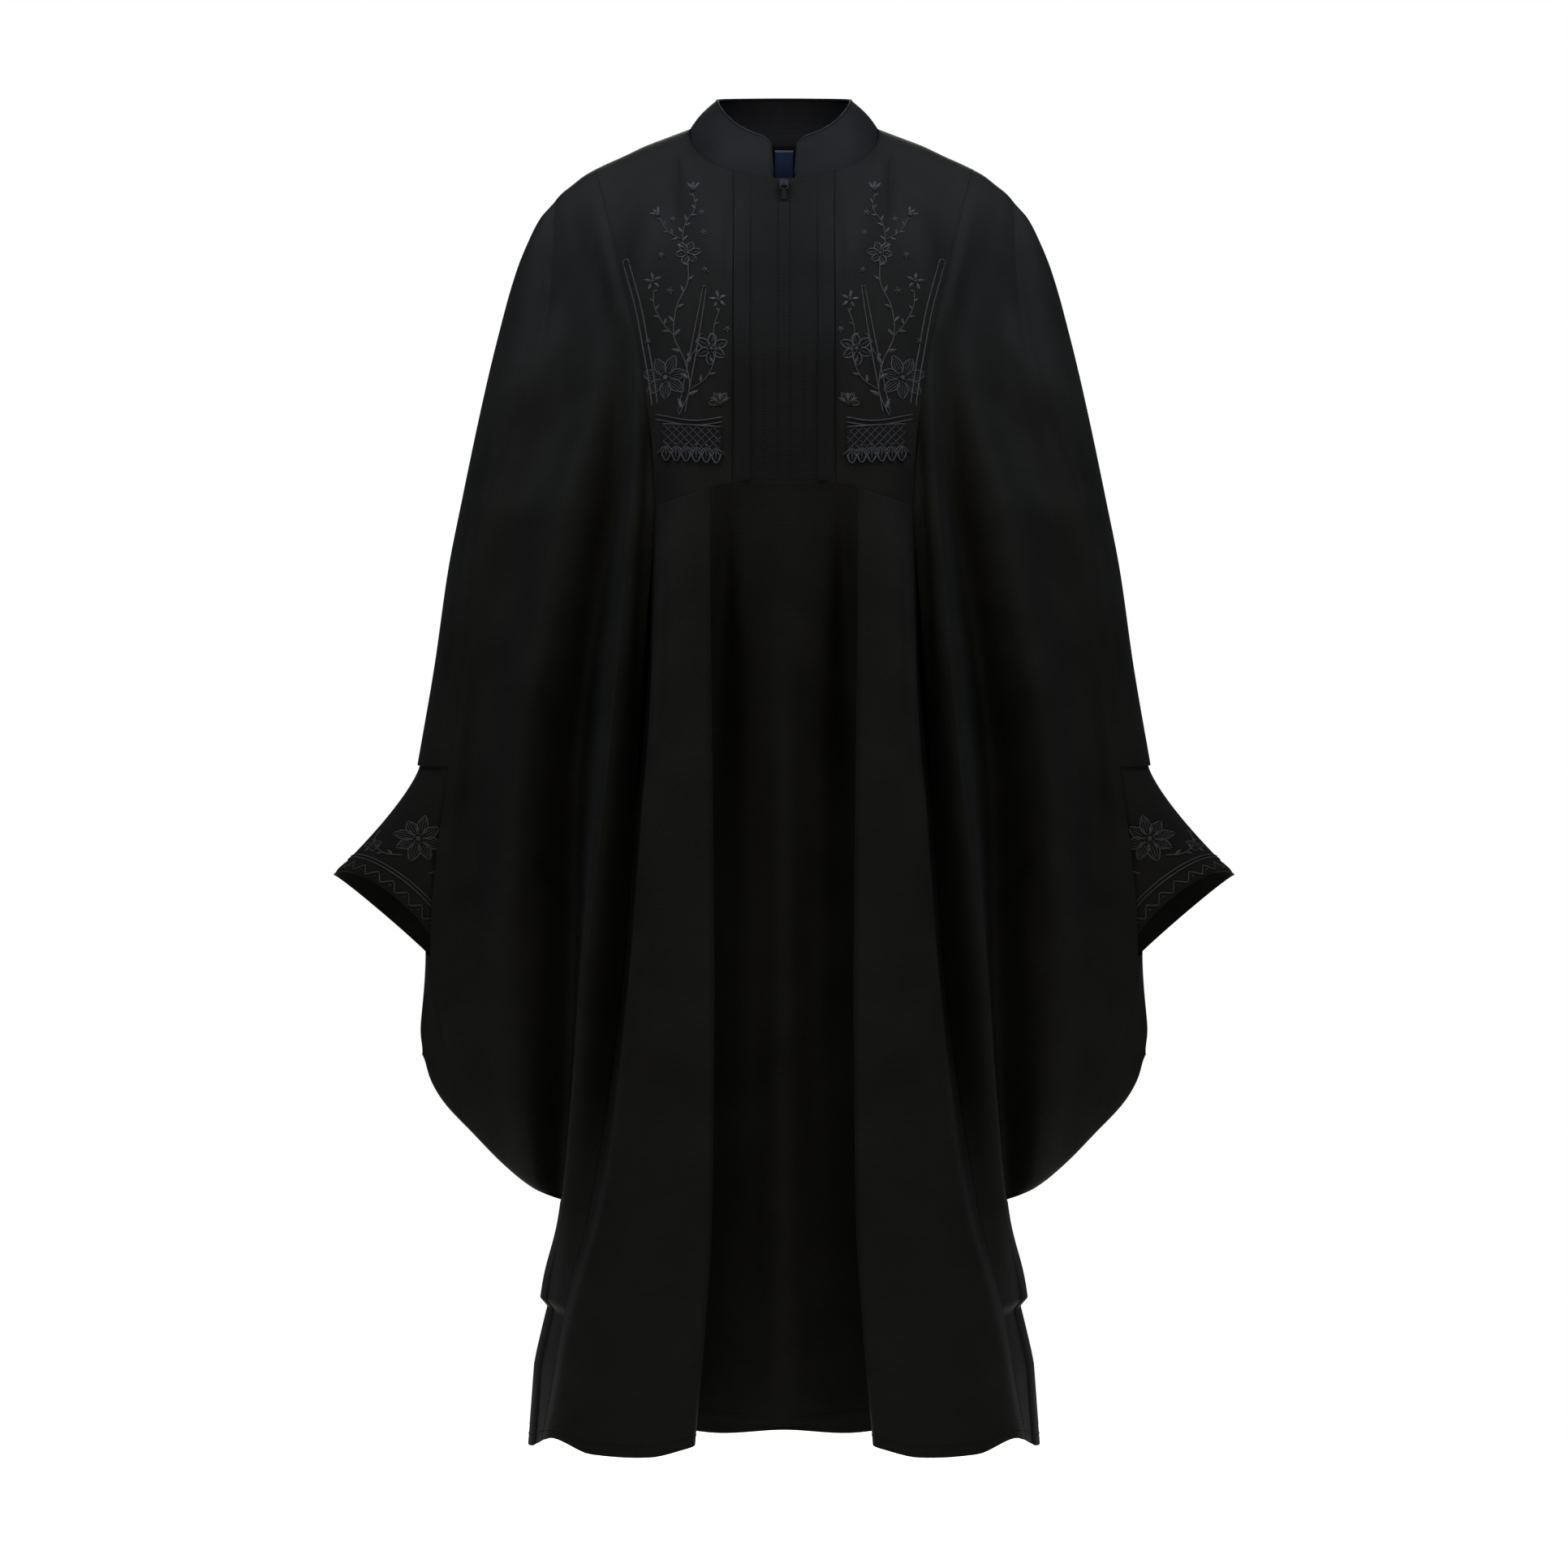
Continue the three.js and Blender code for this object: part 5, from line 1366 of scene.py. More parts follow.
@dataclass
class Cuffs:
    """Bell cuffs whose upper ends lie inside the sleeves."""

    form: GarmentForm
    cut: Cut = Cut(0.27, 0.21, 0.034)
    tip: tuple[float, float] = (423, -695)
    inner: tuple[float, float] = (324, -780)
    half_depth: float = 33.0
    front_lift: float = 24.0
    inner_reach: float = 25.0
    rings: int = 30
    flare: float = 1.3
    wall: float = 1.2

    def sleeve_ring(self, row: int) -> np.ndarray:
        """A ring inside the sleeve at a row, closed by a hollow arc on the side of the body."""
        count = self.form.cap_columns
        front, back = self.form.side_front, self.form.back_half
        ways = [grid_normals(front, 1)[row], grid_normals(back, -1)[row]]
        edge_way = ways[0][-1] * np.array([1, 0, 1]) + ways[1][-1] * np.array([1, 0, 1])
        edge_way /= np.linalg.norm(edge_way)
        half = []
        for grid, way in zip((front, back), ways):
            way = way.copy()
            way[-1] = edge_way
            half.append((grid[row] - way * SLEEVE_INSET)[-count - 1 :])
        upper = np.concatenate([half[1], half[0][-2::-1]])
        hub = (upper[0] + upper[-1]) / 2
        turn = np.pi * np.arange(1, 2 * count) / (2 * count)
        hollow = points(
            hub[0] - self.inner_reach * np.sin(turn),
            mix(hub[1], upper[-1][1], np.cos(turn)),
            mix(hub[2], upper[-1][2], np.abs(np.cos(turn))),
        )
        return np.concatenate([upper, hollow])

    def grid(self) -> np.ndarray:
        """Outer points, ring by ring, from inside the sleeve to the mouth."""
        tucked = [self.sleeve_ring(row) for row in (WRIST - ROW_FINE, WRIST - ROW_FINE // 2, WRIST)]
        last = tucked[-1]
        tip, inner = (points(x, 0, z) for x, z in (self.tip, self.inner))
        hub, span = (tip + inner) / 2, (tip - inner) / 2
        down = np.array([span[2], 0, -span[0]]) / np.linalg.norm(span)
        turn = 2 * np.pi * (np.arange(len(last)) - self.form.cap_columns) / len(last)
        ahead = np.maximum(0, np.sin(turn))[:, None]
        mouth = hub + span * np.cos(turn)[:, None] - points(0, self.half_depth * np.sin(turn), 0)
        mouth = mouth - down * self.front_lift * ahead
        share = (np.arange(1, self.rings + 1) / self.rings)[:, None]
        rings = points(
            mix(last[:, 0], mouth[:, 0], share**self.flare),
            mix(last[:, 1], mouth[:, 1], share),
            mix(last[:, 2], mouth[:, 2], share),
        )
        grid = np.concatenate([np.stack(tucked), rings])
        return np.concatenate([grid, grid[:, :1]], axis=1)

    def build(self) -> np.ndarray:
        """Both cuffs.

        Returns:
            The left cuff's grid, for what is sewn on it.
        """
        grid = self.grid()
        left = ClothPanel("cuff_cloth", grid, facing=-1, wall=self.wall, closed=True, pinned=False)
        PairedPanel(left, "cuff", self.cut).build()
        return grid


def yoke_panel(form: GarmentForm, name: str) -> ClothPanel:
    """The left yoke with its creases."""
    return ClothPanel(name, form.yoke, creases=YOKE_CREASES, shared=PLEAT_CREASES + SIDE_SEAM_CREASES)


@dataclass
class Bodice:
    """The cloth panels of the body: side fronts, yokes, plackets, skirt, centre panel and back."""

    form: GarmentForm
    side_cut: Cut = Cut(0.46, 1.26, 0.29)
    yoke_cut: Cut = Cut(0.13, 0.37, 0.041)
    placket_cut: Cut = Cut(0.05, 0.32, 0.0158)
    skirt_cut: Cut = Cut(0.29, 0.88, 0.19)
    centre_cut: Cut = Cut(0.24, 0.87, 0.17)
    back_cut: Cut = Cut(1.3, 1.27, 1.05)

    def build(self) -> None:
        """All panels."""
        form = self.form
        kept = form.kept(form.side_front, form.seam_column)
        side = ClothPanel(
            "side_front_cloth", form.side_front, kept=kept, creases=FRONT_CREASES, shared=SIDE_SEAM_CREASES
        )
        PairedPanel(side, "side_front", self.side_cut).build()
        PairedPanel(yoke_panel(form, "yoke_cloth"), "yoke", self.yoke_cut).build()
        tuck = (form.placket_angles - SIZE.tuck_angle) / (SIZE.tuck_top_angle - SIZE.tuck_angle)
        raised = np.broadcast_to(np.clip(tuck, 0, 1) * SIZE.tuck_raise, form.placket.shape[:2])
        placket = ClothPanel(
            "placket_cloth", form.placket, creases=PLACKET_CREASES, raised=raised, shared=PLEAT_CREASES
        )
        # The placket gets the darker crepe, which is painted shade.
        PairedPanel(placket, "placket", self.placket_cut, PLACKET_CREPE_SHADED).build()
        skirt = ClothPanel("skirt_front_cloth", form.skirt, creases=FRONT_CREASES, shared=SIDE_SEAM_CREASES)
        PairedPanel(skirt, "front_skirt", self.skirt_cut).build()
        centre = ClothPanel("centre_cloth", form.centre, creases=CENTRE_CREASES).build()
        finish_piece(centre, CREPE, ("centre_panel",))
        self.centre_cut.declare(centre)
        half = form.kept(form.back_half, form.back_seam_column)
        back = ClothPanel(
            "back_cloth", both_halves(form.back_half), facing=-1,
            kept=np.concatenate([half[:, ::-1], half], axis=1), creases=BACK_CREASES,
        ).build()
        finish_piece(back, CREPE, ("back",))
        self.back_cut.declare(back)


# ---------------------------------------------------------------- what is sewn on
class Ground:
    """A surface that stitches and trims are laid on, addressed by two lengths in mm."""

    def lay(self, a: np.ndarray, b: np.ndarray) -> tuple[np.ndarray, np.ndarray]:
        """Points and directions out of the cloth at places (a, b)."""
        raise NotImplementedError


class FrontGround(Ground):
    """Cloth seen from the front: a is x, b is z."""

    def __init__(self, grid: np.ndarray, facing: int = 1) -> None:
        """Keeps the grid as a tree for straight looks from the front, or the back if facing is -1."""
        rows, columns = grid.shape[:2]
        index = np.arange(rows * columns).reshape(rows, columns)
        quads = np.stack(cell_corners(index), axis=-1)
        places = [Vector(p) for p in grid.reshape(-1, 3)]
        self.tree = BVHTree.FromPolygons(places, quads.reshape(-1, 4).tolist())
        self.toward = facing

    def lay(self, a: np.ndarray, b: np.ndarray) -> tuple[np.ndarray, np.ndarray]:
        """Points and directions out of the cloth at x = a, z = b."""
        shape = np.shape(a)
        found, ways = [], []
        for x, z in zip(np.ravel(a), np.ravel(b)):
            start = Vector((float(x), -1000.0 * self.toward, float(z)))
            hit, normal, _, _ = self.tree.ray_cast(start, Vector((0, self.toward, 0)))
            if hit is None:
                hit, normal, _, _ = self.tree.find_nearest(Vector((float(x), -120.0 * self.toward, float(z))))
            if normal.y * self.toward > 0:
                normal = -normal
            found.append(hit)
            ways.append(normal)
        return np.array(found).reshape(*shape, 3), np.array(ways).reshape(*shape, 3)


class CuffGround(Ground):
    """The outer face of a cuff: a runs round it from its outer edge, b up from its mouth."""

    def __init__(self, grid: np.ndarray, start: int, toward: int) -> None:
        """Keeps the rings.

        Args:
            grid: The cuff's grid, closed by its first column.
            start: Column of the outer edge.
            toward: 1 to run round the front, -1 to run round the back.
        """
        self.rings = grid[:, :-1]
        self.ways = grid_normals(grid, -1)[:, :-1]
        self.start, self.toward = start, toward
        self.round = np.linalg.norm(np.diff(grid, axis=1), axis=2).sum(axis=1)
        down = np.linalg.norm(np.diff(grid[:, start], axis=0), axis=1)
        self.up = np.concatenate([np.cumsum(down[::-1])[::-1], [0]])

    def lay(self, a: np.ndarray, b: np.ndarray) -> tuple[np.ndarray, np.ndarray]:
        """Points and directions out of the cloth, a mm round from the outer edge and b mm up."""
        a, b = np.asarray(a, float), np.asarray(b, float)
        row = np.interp(b, self.up[::-1], np.arange(len(self.up))[::-1])
        count = self.rings.shape[1]
        column = self.start + self.toward * a / np.interp(row, np.arange(len(self.round)), self.round) * count
        r = np.clip(row.astype(int), 0, len(self.rings) - 2)
        c = np.floor(column).astype(int)
        s, t = (row - r)[..., None], (column - c)[..., None]
        picked = []
        for values in (self.rings, self.ways):
            top = mix(values[r, c % count], values[r, (c + 1) % count], t)
            low = mix(values[r + 1, c % count], values[r + 1, (c + 1) % count], t)
            picked.append(mix(top, low, s))
        way = picked[1] / np.linalg.norm(picked[1], axis=-1, keepdims=True)
        return picked[0], way


@dataclass
class Needlework:
    """Draws raised motifs on a ground, all in mm."""

    ground: Ground
    parts: MeshParts = field(default_factory=MeshParts)

    def cord(self, path: np.ndarray, width: float = 1.5, height: float = 1.3) -> None:
        """A satin cord along a flat path, which lies half sunk in the cloth."""
        path = np.asarray(path, float)
        along = running_lengths(path)
        count = max(4, int(along[-1] / 2.2))
        where = np.linspace(0, along[-1], count)
        flat = np.stack([np.interp(where, along, path[:, i]) for i in (0, 1)], axis=1)
        found, way = self.ground.lay(flat[:, 0], flat[:, 1])
        places, faces = tube(found + way * height * 0.2, way, width, height, 6)
        self.parts.add(places, faces, cord_uv(where, np.arange(6) * 0.7))

    def curve(self, knots: list[tuple[float, float]], width: float = 1.5, height: float = 1.3) -> np.ndarray:
        """A cord on a smooth curve through knots.

        Returns:
            The points of the curve.
        """
        path = smooth_path(knots)
        self.cord(path, width, height)
        return path

    def pad(
        self, base: tuple[float, float], angle: float, length: float, width: float, height: float = 1.5
    ) -> None:
        """A padded petal or leaf in satin stitch.

        Args:
            base: Its foot.
            angle: Its direction in degrees, from +a toward +b.
            length: Its length.
            width: Its widest.
            height: Its crown above the cloth.
        """
        s = np.linspace(0, 1, 9)[:, None]
        t = np.linspace(-1, 1, 6)[None, :]
        half = width / 2 * np.sin(np.pi * np.clip(s, 0.02, 0.98) ** 0.85) ** 0.8
        turn = math.radians(angle)
        ahead, aside = s * length + t * 0, half * t
        a = base[0] + ahead * math.cos(turn) - aside * math.sin(turn)
        b = base[1] + ahead * math.sin(turn) + aside * math.cos(turn)
        crown = height * (1 - t**2) * np.sin(np.pi * np.clip(s, 0.03, 0.97)) ** 0.5
        vein = 1 - 0.35 * np.exp(-((t / 0.22) ** 2)) * np.ones_like(s)
        found, way = self.ground.lay(a, b)
        top = found + way * (crown * vein + 0.1)[..., None]
        low = found - way * 0.3
        uv = np.stack([ahead, aside], axis=-1).reshape(-1, 2) * MM
        self.closed_pad(top, low, uv)

    def petal(
        self, base: tuple[float, float], angle: float, length: float, width: float, veins: int = 3
    ) -> None:
        """An open petal: a corded outline, hatched along its length with thin threads.

        Args:
            base: Its foot.
            angle: Its direction in degrees, from +a toward +b.
            length: Its length.
            width: Its widest.
            veins: Threads inside it.
        """
        s = np.linspace(0, 1, 9)
        half = width / 2 * np.sin(np.pi * s**0.8) ** 0.8
        turn = math.radians(angle)
        for k in range(veins + 2):
            edge = k in (0, veins + 1)
            aside = half * (2 * k / (veins + 1) - 1)
            a = base[0] + s * length * math.cos(turn) - aside * math.sin(turn)
            b = base[1] + s * length * math.sin(turn) + aside * math.cos(turn)
            flat = np.stack([a, b], axis=1)
            self.cord(flat if edge else flat[1:-1], 1.5 if edge else 0.8, 1.2 if edge else 0.7)

    def closed_pad(self, top: np.ndarray, low: np.ndarray, uv: np.ndarray) -> None:
        """Adds a pad with an upper and a lower skin, joined along its edge."""
        rows, columns = top.shape[:2]
        index = np.arange(rows * columns).reshape(rows, columns)
        count = rows * columns
        faces = []
        for r in range(rows - 1):
            for c in range(columns - 1):
                a, b, d, e = index[r, c], index[r, c + 1], index[r + 1, c + 1], index[r + 1, c]
                faces.append((a, e, d, b))
                faces.append((a + count, b + count, d + count, e + count))
        ring = [*index[0, :], *index[1:, -1], *index[-1, -2::-1], *index[-2:0:-1, 0]]
        for a, b in zip(ring, [*ring[1:], ring[0]]):
            faces.append((a, b, b + count, a + count))
        across_pad, along_pad = top[0, -1] - top[0, 0], top[-1, columns // 2] - top[0, columns // 2]
        middle = top[rows // 2, columns // 2] - low[rows // 2, columns // 2]
        wide = top[rows // 2, -1] - top[rows // 2, 0]
        if np.dot(np.cross(along_pad, wide + across_pad), middle) < 0:
            faces = [face[::-1] for face in faces]
        self.parts.add(np.concatenate([top.reshape(-1, 3), low.reshape(-1, 3)]), faces, np.tile(uv, (2, 1)))

    def knot(self, centre: tuple[float, float], radius: float = 1.3, height: float = 1.3) -> None:
        """A small round knot."""
        turn = 2 * np.pi * np.arange(8) / 8
        rings = [(radius, 0.0), (radius * 0.8, height * 0.7), (radius * 0.35, height)]
        places = []
        for reach, lift in rings:
            found, way = self.ground.lay(centre[0] + reach * np.cos(turn), centre[1] + reach * np.sin(turn))
            places.append(found + way * lift)
        faces = []
        for i in range(2):
            for k in range(8):
                n = (k + 1) % 8
                faces.append((i * 8 + k, i * 8 + n, i * 8 + 8 + n, i * 8 + 8 + k))
        faces.append(tuple(range(16, 24)))
        faces.append(tuple(range(8))[::-1])
        flat = np.concatenate(places)
        centre_out = flat[16:].mean(axis=0) - flat[:8].mean(axis=0)
        if np.dot(np.cross(flat[1] - flat[0], flat[2] - flat[1]), centre_out) < 0:
            faces = [face[::-1] for face in faces]
        self.parts.add(flat, faces, np.tile(np.arange(24)[:, None] * 0.3 * MM, (1, 2)))

    def flower(
        self, centre: tuple[float, float], petals: int, inner: float, outer: float, width: float,
        spin: float = 0.0, first: float = 0.0, last: float = 360.0,
    ) -> None:
        """A flower, or a part of one between two angles, with a knotted heart."""
        for k in range(petals):
            share = k / petals if last - first >= 360 else k / max(1, petals - 1)
            angle = spin + first + (last - first) * share
            reach = outer * (1 if k % 2 == 0 else 0.9)
            turn = math.radians(angle)
            base = (centre[0] + inner * math.cos(turn), centre[1] + inner * math.sin(turn))
            if reach > 10:
                self.petal(base, angle, reach - inner, width, 3 if reach > 18 else 1)
            else:
                self.pad(base, angle, reach - inner, width * 0.7, 1.0)
        self.knot(centre, inner * 0.75, 1.8)
        for k in range(5):
            turn = math.radians(spin + 72 * k + 20)
            self.knot((centre[0] + inner * math.cos(turn), centre[1] + inner * math.sin(turn)), 0.9, 1.6)

    def sprig(
        self, path: np.ndarray, count: int, size: float, start: float = 0.15, end: float = 0.95
    ) -> None:
        """Leaves in turn on both sides of a stem, smaller toward its end."""
        for k in range(count):
            share = mix(start, end, k / max(1, count - 1))
            i = min(len(path) - 2, int(share * (len(path) - 1)))
            ahead = path[i + 1] - path[i]
            angle = math.degrees(math.atan2(ahead[1], ahead[0])) + (48 if k % 2 else -48)
            leaf = size * (1 - 0.45 * share)
            self.pad(tuple(path[i]), angle, leaf, leaf * 0.42, 1.2)


def smooth_path(knots: list[tuple[float, float]], cells: int = 10) -> np.ndarray:
    """A smooth flat curve through knots."""
    flat = np.array([(a, b, 0.0) for a, b in knots])
    ends = [2 * flat[0] - flat[1], *flat, 2 * flat[-1] - flat[-2]]
    found = [
        stretch([k[None] for k in ends[i : i + 4]], j / cells)[0]
        for i in range(len(knots) - 1) for j in range(cells)
    ]
    return np.array([*found, flat[-1]])[:, :2]


HOOK = ((115, -264), (119, -236), (124, -208), (130, -176), (138, -146), (142, -132))
STEMS = (
    (((96, -276), (86, -252), (90, -226), (100, -202), (98, -176), (88, -152), (88, -130)), 1.3,
     (11, 11, 0.06, 0.95)),
    (((100, -202), (110, -190), (118, -174), (119, -158)), 1.1, (6, 8)),
    (((88, -130), (93, -112), (90, -94), (82, -80), (84, -64)), 1.0, (9, 8)),
    (((86, -252), (70, -240), (62, -218), (64, -196), (58, -176)), 1.1, (7, 8)),
    (((93, -112), (106, -104), (114, -90)), 0.9, (5, 7)),
    (((90, -226), (80, -214), (76, -200)), 0.9, (4, 6)),
)
FLOWERS = (
    ((108, -240), 7, 4, 22, 10, 12),
    ((66, -214), 6, 3, 16, 8, 35),
    ((88, -124), 6, 2.5, 12.5, 6.5, 50),
    ((120, -150), 5, 2, 9, 5, 10),
    ((60, -168), 5, 2, 9, 5, 80),
    ((58, -264), 6, 2, 11, 5, 0, 0, 150),
    ((84, -60), 3, 1.6, 9, 4.4, 90, -40, 40),
    ((116, -86), 3, 1.6, 8, 4.2, 50, -40, 40),
)
STARS = ((104, -160), (72, -140), (102, -92), (74, -104), (112, -126), (52, -196), (124, -206), (76, -84))


@dataclass
class YokeEmbroidery:
    """Satin-stitched flowers and stems on the yokes, over a band of corded lace."""

    form: GarmentForm
    lace_from: float = 57.0
    lace_to: float = 111.0
    lace_top: float = -286.0
    lace_bottom: float = -310.0
    lace_rise: float = 4.0
    scallops: int = 6
    scallop_drop: float = 9.5
    net_pitch: float = 7.5

    def build(self) -> None:
        """Embroidery and lace on both yokes."""
        ground = FrontGround(yoke_panel(self.form, "ground").shaped())
        work = Needlework(ground)
        self.draw(work)
        lace = self.lace(ground)
        band = self.band(ground)
        for side in Side:
            flip = side is Side.RIGHT
            name = side.name.lower()
            finish_piece(work.parts.build(f"yoke_embroidery_{name}", flip), SATIN)
            finish_piece(lace.parts.build(f"lace_cords_{name}", flip), LACE_CORD)
            obj = band.build(f"lace_band_{name}", flip)
            finish_piece(obj, NET, (f"trim_{name}",))

    def draw(self, work: Needlework) -> None:
        """The motifs: a scroll of flowers and leaves over a leaning trellis bar."""
        for shift, drop in ((0, 0), (5, 2)):
            work.curve([(a + shift, b - drop) for a, b in HOOK], 1.8)
        work.curve([(142, -132), (143, -128), (146, -127), (148, -130), (147, -134)], 1.8)
        for knots, width, leaves in STEMS:
            work.sprig(work.curve(knots, width), *leaves)
        for shift in (0, 6.5):
            work.curve([(71 + shift / 2, -158), (78 + shift * 0.8, -206), (90 + shift, -273)], 1.2)
        work.curve([(71, -158), (71.5, -154.5), (73.5, -154.5), (74.2, -158)], 1.2)
        for flower in FLOWERS:
            work.flower(*flower)
        for place in STARS:
            work.flower(place, 5, 0.9, 3.6, 2.4, place[0])
        for lift in (0, 4.5):
            work.curve([(56, -277 - lift), (82, -280 - lift), (118, -273 - lift)], 1.5)

    def bottom(self, share: np.ndarray) -> np.ndarray:
        """Height of the lace's scalloped edge at a share of its width."""
        lobe = np.abs(np.sin(np.pi * self.scallops * share)) ** 0.8
        return self.lace_bottom - self.scallop_drop * lobe + self.lace_rise * share

    def band(self, ground: Ground) -> MeshParts:
        """The lace's net ground as a thin sheet."""
        share = np.linspace(0, 1, self.scallops * 8 + 1)
        down = np.linspace(0, 1, 12)[:, None]
        x = np.broadcast_to(mix(self.lace_from, self.lace_to, share), (12, len(share)))
        top = self.lace_top + self.lace_rise * share
        z = mix(top, self.bottom(share), down)
        found, way = ground.lay(x, z)
        uv = np.stack([x, z], axis=-1).reshape(-1, 2) * MM
        sheet = Needlework(ground)
        sheet.closed_pad(found + way * 1.1, found + way * 0.35, uv)
        return sheet.parts

    def lace(self, ground: Ground) -> Needlework:
        """Cords of the lace: its scalloped edge, its heading and a diamond net with small buds."""
        raised = Lifted(ground, 1.0)
        work = Needlework(raised)
        share = np.linspace(0, 1, self.scallops * 10 + 1)
        x = mix(self.lace_from, self.lace_to, share)
        work.cord(np.stack([x, self.bottom(share)], axis=1), 1.7, 1.5)
        work.cord(np.stack([x, self.lace_top + self.lace_rise * share], axis=1), 1.5, 1.3)
        height = self.lace_top - self.lace_bottom
        for slant in (-1, 1):
            start = self.lace_from - height
            while start < self.lace_to + height:
                self.net_line(work, start, slant, height)
                start += self.net_pitch
        for k in range(self.scallops):
            x0 = mix(self.lace_from, self.lace_to, (k + 0.5) / self.scallops)
            z0 = self.lace_bottom + self.lace_rise * (k + 0.5) / self.scallops - 2
            for turn in (222, 246, 270, 294, 318):
                work.pad((x0, z0 + 7), turn, 12, 1.5, 1.4)
            work.knot((x0, z0 + 8), 1.3, 1.6)
        return work

    def net_line(self, work: Needlework, start: float, slant: int, height: float) -> None:
        """One slanting thread of the net, cut to the band."""
        t = np.linspace(0, 1, 9)
        x = start + slant * height * t + (0 if slant > 0 else height)
        inside = (x >= self.lace_from) & (x <= self.lace_to)
        if inside.sum() < 2:
            return
        x = x[inside]
        share = (x - self.lace_from) / (self.lace_to - self.lace_from)
        z = self.lace_top - height * t[inside] + self.lace_rise * share
        work.cord(np.stack([x, z], axis=1), 0.8, 0.8)


@dataclass
class Lifted(Ground):
    """Another ground, some way above its cloth."""

    ground: Ground
    lift: float

    def lay(self, a: np.ndarray, b: np.ndarray) -> tuple[np.ndarray, np.ndarray]:
        """Points above the other ground."""
        found, way = self.ground.lay(a, b)
        return found + way * self.lift, way


@dataclass
class CuffEmbroidery:
    """Flowers, a double line and a zigzag band on the cuffs, on their fronts and backs."""

    grid: np.ndarray
    start: int
    band_mm: float = 19.0
    teeth: int = 11

    def build(self) -> None:
        """Embroidery on both cuffs."""
        parts = MeshParts()
        for toward in (1, -1):
            work = Needlework(CuffGround(self.grid, self.start, toward), parts)
            self.draw(work)
        for side in Side:
            obj = parts.build(f"cuff_embroidery_{side.name.lower()}", side is Side.RIGHT)
            finish_piece(obj, SATIN)

    def draw(self, work: Needlework) -> None:
        """The motifs of half a cuff, from its outer edge round to its inner one."""
        half = work.ground.round[-1] / 2
        for height in (self.band_mm, self.band_mm + 3.5):
            work.cord(np.array([(a, height) for a in np.linspace(2, half - 2, 30)]), 1.4)
        pitch = (half - 6) / self.teeth
        zigzag = [(3 + pitch * (k / 2), 3.5 if k % 2 == 0 else 13) for k in range(2 * self.teeth + 1)]
        work.cord(np.array(zigzag), 1.2)
        for k in range(self.teeth):
            work.knot((3 + pitch * (k + 0.5), 7), 1.1, 1.0)
        work.flower((60, 62), 8, 4, 24, 10, 15)
        work.flower((26, 36), 5, 2.4, 10.5, 6, 40)
        stem = work.curve([(58, 40), (46, 33), (36, 34), (24, 42), (18, 54)], 1.3)
        work.sprig(stem, 5, 8)
        spray = work.curve([(84, 40), (92, 54), (90, 72), (82, 90)], 1.3)
        work.sprig(spray, 6, 9)


@dataclass
class Stitches:
    """Rows of single machine stitches, laid along paths on the cloth."""

    form: GarmentForm
    length: float = 2.2
    pitch: float = 3.4
    width: float = 0.7

    def row(self, parts: MeshParts, path: np.ndarray, way: np.ndarray) -> None:
        """Stitches along a path in space.

        Args:
            parts: What they are added to.
            path: Points in mm.
            way: Direction out of the cloth at each point.
        """
        along = running_lengths(path)
        starts = np.arange(self.pitch, along[-1] - self.length, self.pitch)
        for start in starts:
            where = start + self.length * np.array([0, 0.3, 0.7, 1])
            spots = np.stack([np.interp(where, along, path[:, i]) for i in range(3)], axis=1)
            ways = np.stack([np.interp(where, along, way[:, i]) for i in range(3)], axis=1)
            lift = self.width * np.array([-0.1, 0.35, 0.35, -0.1])[:, None]
            places, faces = tube(spots + ways * lift, ways, self.width, self.width, 6)
            parts.add(places, faces, cord_uv(where, np.arange(6) * 0.2))

    def build(self) -> None:
        """Topstitching of the placket, the hems and the princess seams, as one piece a side."""
        form = self.form
        parts = MeshParts()
        placket = FrontGround(form.placket)
        heights = np.linspace(-60, -330, 60)
        for x, below in ((5.5, 0.0), (18.0, -212.0)):
            found, way = placket.lay(np.full(60, x), heights)
            self.row(parts, found[heights < below], way[heights < below])
        half_centre = form.centre[:, form.centre.shape[1] // 2 :]
        self.hem_row(parts, form.skirt, 1)
        self.hem_row(parts, half_centre, 1)
        way = grid_normals(form.side_front, 1)[:, 1]
        self.row(parts, mix(form.side_front[:, 0], form.side_front[:, 1], 0.6), way)
        self.hem_row(parts, form.side_front[:, : form.seam_column + 1], 1)
        self.hem_row(parts, form.back_half[:, : form.back_seam_column + 1], -1)
        for side in Side:
            obj = parts.build(f"topstitching_{side.name.lower()}", side is Side.RIGHT)
            finish_piece(obj, NET)

    def hem_row(self, parts: MeshParts, grid: np.ndarray, facing: int) -> None:
        """Stitches along the hem of a grid, two rows of cells above it."""
        way = grid_normals(grid, facing)
        self.row(parts, grid[-3, 1:-1], way[-3, 1:-1])


@dataclass
class ZipFastener:
    """Concealed zip: a closed coil behind the placket's edges, with the slider and its pull at the top."""

    form: GarmentForm
    tooth_pitch: float = 1.5
    top: float = -64.0
    bottom: float = -330.0

    def build(self) -> None:
        """The coil's teeth, and the enamel of slider and pull."""
        ground = FrontGround(both_halves(self.form.placket))
        heights = np.arange(self.top, self.bottom, -self.tooth_pitch)
        found, way = ground.lay(np.zeros(len(heights)), heights)
        parts = MeshParts()
        for k, (spot, out) in enumerate(zip(found, way)):
            side = 1 if k % 2 else -1
            path = spot - out * 2.0 + np.array([[-1.6 * side, 0, 0], [0, 0, 0], [1.1 * side, 0, 0]])
            places, faces = tube(path, np.tile(out, (3, 1)), 1.1, 1.1, 6)
            parts.add(places, faces)
        finish_piece(parts.build("zip_coil"), NET)
        for name in ("zip_slider", "zip_pull"):
            paint(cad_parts[name], ENAMEL)


